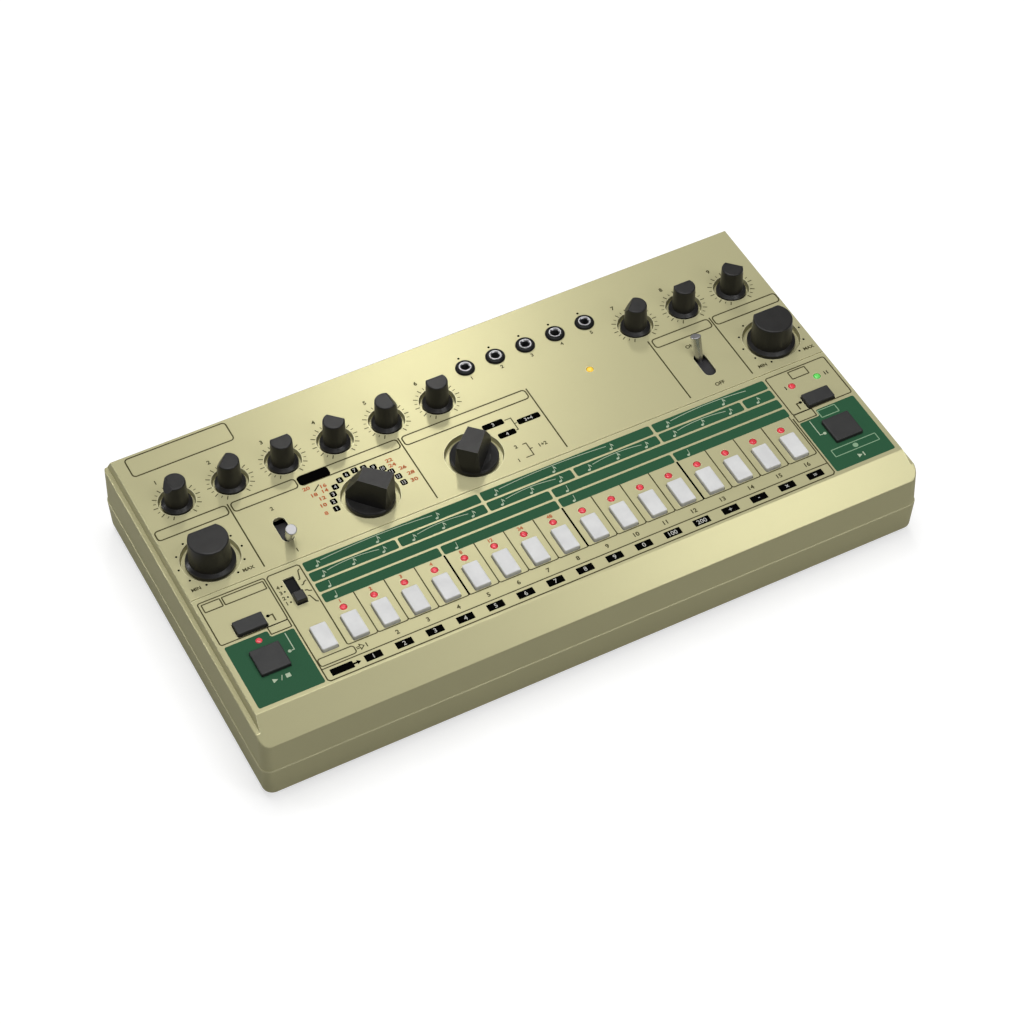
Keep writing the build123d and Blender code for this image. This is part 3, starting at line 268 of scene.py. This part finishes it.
def lamp(name, dark, light, strength):
    """Tinted lens of a lit lamp."""
    m = Nodes(name)
    cloud = m.noise(900.0, 2.0)
    tint = m.blend(m.ramp(cloud, 0.0, 1.0), dark, light)
    m.colour(tint)
    m.link(tint, m.shader.inputs["Emission Color"])
    m.set(IOR=1.5, Coat_Weight=0.4, Emission_Strength=strength)
    m.rough(m.ramp(cloud, 0.22, 0.34))
    m.bump((cloud, 0.000004))
    return m.material


def printed(name, dark, light, level=0.15):
    """Screen-printed ink on the panel."""
    m = Nodes(name)
    grain = m.noise(2600.0, 2.0)
    m.colour(m.blend(m.ramp(grain, 0.0, 1.0), dark, light))
    m.rough(m.ramp(grain, 0.57, 0.70))
    m.bump((m.noise(620.0, 2.0), 0.000006))
    m.set(IOR=1.5, Specular_IOR_Level=level)
    return m.material


finish = {
    "champagne_paint": champagne_paint(),
    # The knobs' edges carry a painted highlight.
    "knob_black": moulded("knob_black", (0.015, 0.0145, 0.014), (0.021, 0.020, 0.019), 0.33,
                          edges=(0.046, 0.045, 0.044), level=0.29),
    "button_white": moulded("button_white", (0.60, 0.60, 0.595), (0.68, 0.68, 0.67), 0.45),
    # The black buttons' edges carry a painted highlight.
    "button_black": moulded("button_black", (0.026, 0.026, 0.026), (0.033, 0.033, 0.032), 0.45,
                            edges=(0.055, 0.054, 0.053), level=0.25),
    "chrome": lever_chrome(),
    "board_green": moulded("board_green", (0.010, 0.075, 0.030), (0.018, 0.115, 0.045), 0.35),
    "switch_black": moulded("switch_black", (0.018, 0.018, 0.018), (0.028, 0.028, 0.028), 0.45),
    "ribbon_grey": moulded("ribbon_grey", (0.27, 0.27, 0.27), (0.36, 0.36, 0.35), 0.5),
    "lamp_red": lamp("lamp_red", (0.34, 0.016, 0.026), (0.52, 0.036, 0.050), 0.75),
    "lamp_green": lamp("lamp_green", (0.06, 0.38, 0.06), (0.12, 0.52, 0.10), 0.6),
    "lamp_yellow": lamp("lamp_yellow", (0.62, 0.34, 0.020), (0.70, 0.50, 0.045), 0.7),
    "socket_metal": bright_metal("socket_metal", (0.34, 0.34, 0.35), (0.45, 0.45, 0.46), 0.34,
                                 (1, 1, 0.2), 0.0000005),
    "collar_black": moulded("collar_black", (0.006, 0.006, 0.006), (0.011, 0.011, 0.011), 0.32,
                            height=0.000001, level=0.12),
    "screw_steel": bright_metal("screw_steel", (0.08, 0.08, 0.08), (0.14, 0.14, 0.14), 0.35,
                                (1, 1, 1)),
    "rubber": moulded("rubber", (0.020, 0.020, 0.020), (0.032, 0.032, 0.032), 0.75,
                      grain=2400.0, height=0.00002),
}
slot_of = {s["node"]: s["material_slot"] for s in frame["record"]["subparts"]}
own_finish = {"scale_slide_cap": slide_black()}
for node_name, node_object in nodes.items():
    mesh = node_object.data
    mesh.materials.clear()
    mesh.materials.append(own_finish.get(node_name) or finish[slot_of[node_name]])

ink = {
    "line_ink": printed("line_ink", (0.054, 0.047, 0.020), (0.072, 0.064, 0.030), level=0.05),
    "tick_ink": printed("tick_ink", (0.058, 0.051, 0.022), (0.080, 0.072, 0.034), level=0.05),
    "black_ink": printed("black_ink", (0.0012, 0.0012, 0.0010), (0.0028, 0.0028, 0.0024),
                         level=0.0),
    "green_ink": printed("green_ink", (0.017, 0.078, 0.034), (0.022, 0.094, 0.043)),
    "cream_ink": printed("cream_ink", (0.36, 0.44, 0.31), (0.44, 0.52, 0.37)),
    "lime_ink": printed("lime_ink", (0.20, 0.33, 0.20), (0.26, 0.40, 0.25)),
    "white_ink": printed("white_ink", (0.40, 0.40, 0.36), (0.48, 0.48, 0.44)),
    "orange_ink": printed("orange_ink", (0.38, 0.088, 0.030), (0.46, 0.115, 0.042)),
}


# ---------------------------------------------------------------- printed panel

DOT_SIDES = 20
CORNER_STEPS = 5        # chords in a rounded corner
CURVE_STEPS = 4         # chords in an arc or a softened corner
MITRE_LIMIT = 0.35      # least cosine used where a line turns
DIGIT_HEIGHT = 0.73     # a digit's height in units of the font's size


class Print:
    """One ink: every mark is a closed film on the panel, gathered in one mesh. Places are in mm."""

    def __init__(self, name, ink_name, low, high, weight=1.0):
        self.name, self.ink, self.weight = name, ink_name, weight
        self.bm = bmesh.new()
        self.low, self.high = panel_z + low * MM, panel_z + high * MM

    def _ring(self, points, z):
        return [self.bm.verts.new((x * MM, y * MM, z)) for x, y in points]

    def fill(self, points):
        """A solid mark inside one outline, counter-clockwise."""
        bottom, top = self._ring(points, self.low), self._ring(points, self.high)
        self.bm.faces.new(top)
        self.bm.faces.new(bottom[::-1])
        for i in range(len(points)):
            j = (i + 1) % len(points)
            self.bm.faces.new((bottom[i], bottom[j], top[j], top[i]))

    def band(self, outer, inner):
        """The strip between two closed outlines of the same number of points."""
        lo, hi = self._ring(outer, self.low), self._ring(outer, self.high)
        li, hj = self._ring(inner, self.low), self._ring(inner, self.high)
        for i in range(len(outer)):
            j = (i + 1) % len(outer)
            self.bm.faces.new((hi[i], hi[j], hj[j], hj[i]))
            self.bm.faces.new((li[i], li[j], lo[j], lo[i]))
            self.bm.faces.new((lo[i], lo[j], hi[j], hi[i]))
            self.bm.faces.new((hj[i], hj[j], li[j], li[i]))

    def line(self, points, width):
        """An open stroke of even width, mitred at its corners."""
        sides = ([], [])
        last = len(points) - 1
        width *= self.weight
        for i, (x, y) in enumerate(points):
            before = points[max(i - 1, 0)]
            after = points[min(i + 1, last)]
            a = Vector((x - before[0], y - before[1]))
            b = Vector((after[0] - x, after[1] - y))
            a = a.normalized() if a.length else b.normalized()
            b = b.normalized() if b.length else a
            along = (a + b).normalized()
            across = Vector((-along.y, along.x))
            reach = width / 2 / max(MITRE_LIMIT, across.dot(Vector((-a.y, a.x))))
            sides[0].append((x - across.x * reach, y - across.y * reach))
            sides[1].append((x + across.x * reach, y + across.y * reach))
        self.fill(sides[0] + sides[1][::-1])

    def frame(self, x0, x1, y0, y1, radius, width):
        """A line around a rectangle with rounded corners."""
        half = width * self.weight / 2
        outer = rounded(x0 - half, x1 + half, y0 - half, y1 + half, radius + half)
        inner = rounded(x0 + half, x1 - half, y0 + half, y1 - half, max(radius - half, 0.01))
        self.band(outer, inner)

    def box(self, x0, x1, y0, y1, radius=0.0):
        """A solid rectangle with rounded corners."""
        self.fill(rounded(x0, x1, y0, y1, radius))

    def dot(self, x, y, radius, stretch=1.0, turn=0.0):
        """A solid disc, or an ellipse turned by an angle in radians."""
        points = []
        for i in range(DOT_SIDES):
            a = 2 * math.pi * i / DOT_SIDES
            u, v = radius * math.cos(a), radius * stretch * math.sin(a)
            points.append((x + u * math.cos(turn) - v * math.sin(turn),
                           y + u * math.sin(turn) + v * math.cos(turn)))
        self.fill(points)

    def text(self, words, x, y, height, bold=0.0, squeeze=1.0):
        """Words centred on x, y; height is a digit's, and bold is added around each stroke."""
        data = bpy.data.curves.new("words", "FONT")
        data.body = words
        data.align_x, data.align_y = "CENTER", "CENTER"
        data.size = height * MM / DIGIT_HEIGHT
        data.offset = bold * MM
        data.resolution_u = 3
        data.extrude = (self.high - self.low) / 2
        holder = bpy.data.objects.new("words", data)
        scene.collection.objects.link(holder)
        bpy.context.view_layer.update()
        mesh = holder.to_mesh()
        lows = [min(v.co[k] for v in mesh.vertices) for k in (0, 1)]
        highs = [max(v.co[k] for v in mesh.vertices) for k in (0, 1)]
        middle = [(a + b) / 2 for a, b in zip(lows, highs)]
        copy = [self.bm.verts.new(((v.co.x - middle[0]) * squeeze + x * MM,
                                   v.co.y - middle[1] + y * MM,
                                   v.co.z + (self.high + self.low) / 2))
                for v in mesh.vertices]
        for p in mesh.polygons:
            corners = [copy[i] for i in p.vertices]
            if len(set(corners)) > 2 and not self.bm.faces.get(corners):
                self.bm.faces.new(corners)
        holder.to_mesh_clear()
        bpy.data.objects.remove(holder)
        bpy.data.curves.remove(data)

    def make(self, body="case"):
        """Turn the gathered marks into a piece of the scene."""
        bmesh.ops.remove_doubles(self.bm, verts=self.bm.verts[:], dist=1e-9)
        bmesh.ops.recalc_face_normals(self.bm, faces=self.bm.faces[:])
        mesh = bpy.data.meshes.new(self.name)
        self.bm.to_mesh(mesh)
        self.bm.free()
        piece = bpy.data.objects.new(self.name, mesh)
        scene.collection.objects.link(piece)
        mesh.materials.append(ink[self.ink])
        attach(piece, body)


def around(x, y, radius, degrees):
    """The point at an angle on a circle."""
    a = math.radians(degrees)
    return x + radius * math.cos(a), y + radius * math.sin(a)


def rounded(x0, x1, y0, y1, radius):
    """Outline of a rectangle with rounded corners, counter-clockwise from the lower left."""
    centres = ((x0 + radius, y0 + radius, 180), (x1 - radius, y0 + radius, 270),
               (x1 - radius, y1 - radius, 0), (x0 + radius, y1 - radius, 90))
    return [around(x, y, radius, start + 90 * i / CORNER_STEPS)
            for x, y, start in centres for i in range(CORNER_STEPS + 1)]


def arc(x, y, radius, start, end):
    """Points on a circle from one angle to another."""
    return [around(x, y, radius, start + (end - start) * i / CURVE_STEPS)
            for i in range(CURVE_STEPS + 1)]


def softened(points, radius):
    """Outline with each of its corners cut to a smooth curve."""
    out = []
    for i, point in enumerate(points):
        corner = Vector(point)
        ends = [corner + (Vector(points[j]) - corner).normalized() * radius
                for j in (i - 1, (i + 1) % len(points))]
        for k in range(CURVE_STEPS + 1):
            t = k / CURVE_STEPS
            curve = ends[0] * (1 - t) ** 2 + corner * 2 * t * (1 - t) + ends[1] * t ** 2
            out.append((curve.x, curve.y))
    return out


# The films overlap in steps, so that marks on the green fields lie on top of them.
green = Print("print_green_fields", "green_ink", -0.02, 0.020)
lines = Print("print_lines", "line_ink", -0.02, 0.030, 1.4)
ticks = Print("print_dial_ticks", "tick_ink", -0.02, 0.030, 1.4)
black = Print("print_black_marks", "black_ink", -0.02, 0.035)
cream = Print("print_cream_notes", "cream_ink", -0.015, 0.045, 0.85)
lime = Print("print_light_green_marks", "lime_ink", -0.015, 0.045)
white = Print("print_white_numerals", "white_ink", -0.010, 0.055)
orange = Print("print_orange_marks", "orange_ink", -0.02, 0.040)

# Scales around the small dials.
small_x = [LEFT_X + i * KNOB_PITCH for i in range(6)]
small_x += [RIGHT_X - i * KNOB_PITCH for i in (2, 1, 0)]
for number, x in enumerate(small_x, 1):
    for step in range(21):
        angle = -60 + 15 * step
        inner, outer, width = (8.7, 9.9, 0.24) if step % 2 else (8.4, 10.4, 0.32)
        ticks.line([around(x, SMALL_Y, inner, angle), around(x, SMALL_Y, outer, angle)], width)
    lines.text(str(number), x - 4.0, SMALL_Y + 13.4, 2.1, 0.10)

# Dots around the two large dials, and the ends of their range.
for x in (LEFT_X, RIGHT_X):
    for step in range(11):
        black.dot(*around(x, LARGE_Y, 14.0, -60 + 30 * step), 0.5)
    lines.text("MIN", x - 11.6, LARGE_Y - 12.2, 1.7, 0.09)
    lines.text("MAX", x + 11.6, LARGE_Y - 12.2, 1.7, 0.09)

# Instrument selector: thirteen numbered places, and plain numbers beside them.
for place in range(13):
    angle = 180 - 15 * place
    x, y = around(INSTRUMENT_X, LARGE_Y, 15.5, angle)
    black.box(x - 1.4, x + 1.4, y - 1.5, y + 1.5, 0.6)
    white.text(str(place + 1), x, y, 1.75, 0.03, 0.8 if place > 8 else 1.0)

for words, across, back in (("20", -22.2, 15.6), ("18", -20.5, 11.0), ("16", -15.1, 13.9),
                            ("14", -15.5, 11.1), ("12", -18.2, 7.9), ("10", -19.4, 4.2),
                            ("8", -20.3, -0.3), ("22", 15.2, 13.9), ("24", 15.3, 10.9),
                            ("26", 18.6, 7.7), ("28", 20.4, 3.6), ("30", 20.1, -0.5)):
    orange.text(words, INSTRUMENT_X + across, LARGE_Y + back, 1.9, 0.09, 1.25)
lines.line([(-76.7, 25.4), (-79.8, 22.8)], 0.36)

# Mode selector: four places in two bracketed pairs.
for x0, x1, y0, y1 in ((-2.06, 7.72, 19.7, 22.9), (1.84, 9.92, 12.5, 15.6),
                       (12.7, 23.2, 16.1, 19.2)):
    black.box(x0, x1, y0, y1, 0.8)
lines.line([(8.3, 21.3), (11.2, 21.3), (11.2, 14.1), (10.3, 14.1)], 0.35)
lines.line([(11.2, 17.7), (12.4, 17.7)], 0.35)
lines.line([(8.7, 5.7), (10.4, 5.7), (10.4, -1.6), (6.8, -1.6)], 0.35)
lines.line([(10.4, 2.1), (11.7, 2.1)], 0.35)
white.text("3", 2.8, 21.3, 1.8, 0.03)
white.text("4", 5.9, 14.05, 1.8, 0.03)
white.text("3+4", 17.9, 17.65, 1.8, 0.03)
lines.text("2", 5.6, 5.7, 1.9, 0.09)
lines.text("1", 3.4, -1.6, 1.9, 0.09)
lines.text("1+2", 16.6, 2.1, 1.9, 0.09)

# Toggles.
lines.text("2", -99.5, 22.4, 2.0, 0.09)
lines.text("1", -99.3, -2.5, 2.0, 0.09)
lines.text("ON", 99.3, 22.4, 1.9, 0.09)
lines.text("OFF", 100.0, -2.5, 1.9, 0.09)

# Mini jacks.
for number, x in enumerate(JACK_X, 1):
    black.dot(x, 62.4, 0.55)
    lines.text(str(number), x, 49.6, 1.9, 0.09)

# Tabs over the lower controls of the upper field, and the lines between them.
TAB = (27.9, 33.15)
for x0, x1 in ((-147.8, -115.9), (-113.7, -84.6), (-34.9, 23.8), (86.1, 114.2),
               (116.3, 148.2), (-83.3, -37.15)):
    lines.frame(x0, x1, *TAB, 1.5, 0.45)
black.box(-83.8, -69.6, 28.0, 33.2, 1.4)
for x in (-114.85, -36.2, 24.83, 84.6, 115.25):
    lines.line([(x, -4.35), (x, 33.3)], 0.45)
lines.frame(-143.4, -97.4, 64.9, 75.6, 1.6, 0.45)

# Left group of the lower field.
for x0, x1, y0, y1, r in ((-147.2, -117.8, -33.5, -9.7, 1.0), (-145.9, -138.0, -15.2, -11.0, 0.3),
                          (-137.0, -118.8, -15.2, -11.0, 0.3), (-126.9, -117.9, -37.5, -33.5, 0.3)):
    lines.frame(x0, x1, y0, y1, r, 0.4)
lines.line([(-122.3, -31.8), (-122.3, -28.3), (-123.6, -28.3)], 0.45)
black.dot(-124.3, -28.3, 0.75)
green.fill(softened([(-146.5, -69.0), (-117.7, -69.0), (-117.7, -38.6), (-127.6, -38.6),
                     (-127.6, -35.0), (-146.5, -35.0)], 1.0))
cream.line([(-121.9, -39.4), (-121.9, -48.5), (-123.4, -48.5)], 0.45)
cream.dot(-123.9, -48.5, 0.75)

# Right group of the lower field.
for x0, x1, y0, y1, r in ((118.06, 147.26, -33.26, -9.78, 1.0), (128.7, 136.9, -15.2, -10.9, 0.3),
                          (118.15, 127.0, -37.76, -33.36, 0.3)):
    lines.frame(x0, x1, y0, y1, r, 0.4)
lines.line([(122.7, -31.8), (122.7, -28.3), (124.0, -28.3)], 0.45)
black.dot(124.6, -28.3, 0.75)
green.fill(softened([(117.85, -69.03), (146.65, -69.03), (146.65, -35.06), (128.0, -35.06),
                     (128.0, -38.6), (117.85, -38.6)], 1.0))
for x0, x1, y0, y1 in ((128.3, 136.8, -40.0, -35.9), (121.8, 143.3, -61.8, -57.8)):
    lime.frame(x0, x1, y0, y1, 0.2, 0.4)
cream.line([(122.4, -39.4), (122.4, -48.2), (124.0, -48.2)], 0.45)
cream.dot(124.6, -48.2, 0.75)

# One bar and two bars beside the lamps of the two groups.
for x, bars in ((123.3, 1), (143.4, 2)):
    for k in range(bars):
        u = x + (k - (bars - 1) / 2) * 1.2
        black.box(u - 0.22, u + 0.22, -19.4, -17.4)

# Symbols on the green fields: start and stop on the left, a dot and play to the end on the right.
cream.fill([(-136.0, -58.0), (-136.0, -60.2), (-133.8, -59.1)])
cream.line([(-132.7, -60.3), (-131.6, -57.9)], 0.35)
cream.box(-130.4, -128.4, -60.1, -58.1)
lime.dot(132.6, -59.8, 1.2)
cream.fill([(130.5, -64.4), (130.5, -66.6), (132.5, -65.5)])
cream.box(133.0, 133.5, -66.6, -64.4)

# Slide switch: four places and their curves.
for number, y in ((4, -17.1), (3, -20.2), (2, -23.2), (1, -26.2)):
    lines.text(str(number), -114.8, y, 1.9, 0.09)
    black.dot(-113.1, y, 0.42)
for curve in (
        [(-105.6, -17.2), (-104.9, -16.9), (-104.4, -15.0), (-103.8, -12.6), (-102.9, -12.0)],
        [(-105.6, -20.2), (-104.7, -20.0), (-104.0, -19.0), (-102.9, -18.5)],
        [(-105.6, -23.2), (-104.7, -23.3), (-104.0, -24.1), (-102.9, -24.5)],
        [(-105.6, -26.2), (-104.9, -26.5), (-104.4, -28.2), (-103.8, -30.2), (-102.9, -30.8)]):
    lines.line(curve, 0.4)

# Step cells: the outline, the cells with their heavier lines every four steps, the row of
# numerals and the row of black boxes.
left_line, right_line = -116.7, 116.85
CELL_FOOT, CELL_HEAD = -55.3, -33.1
CELL_LINE = 0.38
BOX_ROW = (-67.8, -64.3)
BOX_MIDDLE = -66.05
lines.line([(left_line + 1.0, -9.7), (left_line, -10.7), (left_line, -68.5),
            (left_line + 1.0, -69.5), (right_line - 1.0, -69.5), (right_line, -68.5),
            (right_line, -35.0)], 0.42)
lines.line([(left_line + 1.0, -9.7), (-102.95, -9.7), (-102.15, -10.5), (-102.15, CELL_FOOT)], 0.42)
lines.line([(left_line, -62.9), (right_line, -62.9)], CELL_LINE)
for i in STEPS:
    x0, x1 = column(i) - COLUMN_PITCH / 2, column(i) + COLUMN_PITCH / 2
    lines.line(arc(x0 + 1.0, CELL_FOOT, 1.0, 180, 270) + arc(x1 - 1.0, CELL_FOOT, 1.0, 270, 360),
               CELL_LINE)
for i in STEPS:
    x = column(i) + COLUMN_PITCH / 2
    if i in (4, 8, 12):
        black.box(x - 0.42, x + 0.42, CELL_FOOT - 1.0, CELL_HEAD)
    else:
        lines.line([(x, CELL_FOOT), (x, CELL_HEAD)], CELL_LINE)
for i in STEPS:
    lines.text(str(i), column(i), -59.7, 2.2, 0.10)
    black.box(column(i) - 3.7, column(i) + 3.7, *BOX_ROW, 0.2)
for i, words in enumerate("1 2 3 4 5 6 7 8 9 0 100 200 + - x =".split(), 1):
    white.text(words, column(i), BOX_MIDDLE, 2.2, 0.03)
black.box(-114.1, -104.2, *BOX_ROW, 0.2)
black.line([(-104.4, BOX_MIDDLE), (-102.4, BOX_MIDDLE)], 0.9)
black.fill([(-102.6, -67.2), (-100.8, BOX_MIDDLE), (-102.6, -64.9)])
lines.frame(-116.3, -100.5, -61.6, -57.6, 1.2, CELL_LINE)
lines.line([(-99.9, -60.0), (-98.2, -60.0), (-98.2, -61.0), (-96.6, -59.6), (-98.2, -58.2),
            (-98.2, -59.2), (-99.9, -59.2)], 0.3)
for i, words in enumerate("1 2 3 4 8 12 24 48".split(), 1):
    orange.text(words, column(i), -34.75, 1.8, 0.10)

# Green strips with their notes: front and back edge, places of the gaps, columns of the notes,
# and the columns from note to note under a slur of three, or 0 where the notes have no tails.
STRIPS = (
    ((-15.07, -9.84), (-20.4, 61.3), range(1, 17, 2), 2),
    ((-21.07, -16.03), (-61.3, -20.4, 20.4, 61.3, 102.2), STEPS, 1),
    ((-27.06, -22.13), (6.8,), (1, 9), 0),
    ((-33.06, -28.13), (-47.7, 6.8, 61.3), (1, 5, 9, 13), 0),
)


def note(x, y, tail):
    """A note: head, stem, and a tail where it has one."""
    cream.dot(x - 0.35, y, 0.72, stretch=0.72, turn=0.35)
    cream.line([(x + 0.3, y + 0.1), (x + 0.55, y + 3.0)], 0.26)
    if tail:
        cream.fill([(x + 0.44, y + 3.0), (x + 0.62, y + 2.0), (x + 1.45, y + 0.9),
                    (x + 1.3, y + 2.0)])


for (y0, y1), gaps, places, spread in STRIPS:
    edges = [-100.85, *[g + s for g in gaps for s in (-0.55, 0.55)], 116.76]
    for x0, x1 in zip(edges[::2], edges[1::2]):
        green.box(x0, x1, y0, y1, 0.9)
    for i in places:
        note(column(i), y0 + 1.1, spread > 0)
    if spread:
        for first in STEPS[::3 * spread]:
            last = min(first + 2 * spread, 16)
            x0, x1 = column(first) + 2.2, column(last) - 1.6
            top = y1 - 0.75
            if x1 > x0 + 3:
                cream.line([(x0 + (x1 - x0) * k / 12, top - 1.1 * (k / 6 - 1) ** 2)
                            for k in range(13)], 0.34)

for layer in (green, lines, ticks, black, cream, lime, white, orange):
    layer.make()


# ---------------------------------------------------------------- floor, light, camera

floor_bm = bmesh.new()
bmesh.ops.create_grid(floor_bm, x_segments=8, y_segments=8, size=4.0)
floor_mesh = bpy.data.meshes.new("floor")
floor_bm.to_mesh(floor_mesh)
floor_bm.free()
floor = bpy.data.objects.new("floor", floor_mesh)
scene.collection.objects.link(floor)

# Paper that the camera sees whiter than the lamps alone would make it.
FLOOR_GLOW = 0.62
paper = Nodes("floor_paper")
paper.colour(paper.blend(paper.ramp(paper.noise(60.0, 3.0), 0.0, 1.0),
                         (0.45, 0.45, 0.45), (0.47, 0.47, 0.47)))
paper.set(Roughness=0.9)
path = paper.add("ShaderNodeLightPath")
level = paper.add("ShaderNodeMath", operation="MULTIPLY")
level.inputs[1].default_value = FLOOR_GLOW
paper.link(path.outputs["Is Camera Ray"], level.inputs[0])
glow = paper.add("ShaderNodeEmission")
paper.link(level.outputs[0], glow.inputs["Strength"])
total = paper.add("ShaderNodeAddShader")
paper.link(paper.shader.outputs[0], total.inputs[0])
paper.link(glow.outputs[0], total.inputs[1])
paper.link(total.outputs[0], paper.out.inputs["Surface"])
floor_mesh.materials.append(paper.material)

# White where the camera sees past the floor, and a dim cool fill for everything else.
world = bpy.data.worlds.new("studio")
scene.world = world
world.use_nodes = True
tree = world.node_tree
tree.nodes.clear()
out = tree.nodes.new("ShaderNodeOutputWorld")
seen = tree.nodes.new("ShaderNodeBackground")
seen.inputs["Color"].default_value = (1.0, 1.0, 1.0, 1.0)
lit = tree.nodes.new("ShaderNodeBackground")
lit.inputs["Color"].default_value = (0.93, 0.95, 1.0, 1.0)
lit.inputs["Strength"].default_value = 0.10
pick = tree.nodes.new("ShaderNodeMixShader")
path = tree.nodes.new("ShaderNodeLightPath")
tree.links.new(path.outputs["Is Camera Ray"], pick.inputs[0])
tree.links.new(lit.outputs[0], pick.inputs[1])
tree.links.new(seen.outputs[0], pick.inputs[2])
tree.links.new(pick.outputs[0], out.inputs[0])


def lamp_at(name, place, target, size, watts, colour=(1.0, 1.0, 1.0)):
    """A rectangular lamp that faces its target."""
    data = bpy.data.lights.new(name, "AREA")
    data.shape = "RECTANGLE"
    data.size, data.size_y = size
    data.energy = watts
    data.color = colour
    light = bpy.data.objects.new(name, data)
    light.location = place
    away = Vector(place) - Vector(target)
    light.rotation_euler = away.to_track_quat("Z", "Y").to_euler()
    scene.collection.objects.link(light)


lamp_at("overhead", (-0.02, 0.28, 1.74), (0.0, 0.0, 0.04), (1.0, 1.0), 20.0)
lamp_at("key_behind", (0.435, 1.064, 1.181), (0.0, 0.03, 0.04), (0.15, 0.27), 1.95,
        (1.0, 0.985, 0.95))
lamp_at("front_right", (0.68, -1.10, 1.02), (0.06, -0.07, 0.04), (0.32, 0.20), 2.3)
lamp_at("front_left", (0.30, -1.26, 1.07), (0.0, -0.07, 0.04), (0.44, 0.30), 0.35)
lamp_at("over_shoulder", (-0.29, -0.565, 1.17), (0.0, 0.0, 0.04), (0.20, 0.20), 0.8)
lamp_at("low_left", (-1.00, 0.75, 0.42), (-0.10, 0.0, 0.04), (0.20, 0.20), 2.4)
lamp_at("dial_strip", (0.34, -0.52, 1.02), (0.0, 0.0, 0.04), (0.62, 0.14), 2.0)
lamp_at("seam_strip", (0.45, -1.25, 0.84), (0.0, -0.08, 0.02), (0.60, 0.06), 0.5)
lamp_at("strip_front", (-0.05, -1.49, 0.20), (0.10, 0.01, 0.05), (0.03, 0.33), 0.4)
lamp_at("strip_right", (1.57, -0.27, 0.20), (0.10, 0.01, 0.05), (0.03, 0.33), 0.4)

# The camera's place in metres, and the turn from the world's axes to right, down and ahead.
CAMERA_PLACE = (-0.36887, -0.71913, 0.96256)
spin = Vector((2.378237143302953, -0.5844960558163924, 0.20816707341231058))
turn = Matrix.Rotation(spin.length, 3, spin.normalized())
right, down, ahead = turn[0], turn[1], turn[2]
camera = bpy.data.objects.new("camera", bpy.data.cameras.new("camera"))
camera.data.lens = 102.667
camera.data.sensor_width = 36.0
camera.data.clip_start, camera.data.clip_end = 0.05, 50.0
camera.matrix_world = Matrix((
    (right.x, -down.x, -ahead.x, CAMERA_PLACE[0]),
    (right.y, -down.y, -ahead.y, CAMERA_PLACE[1]),
    (right.z, -down.z, -ahead.z, CAMERA_PLACE[2]),
    (0.0, 0.0, 0.0, 1.0),
))
scene.collection.objects.link(camera)
scene.camera = camera
scene.view_settings.view_transform = "Standard"
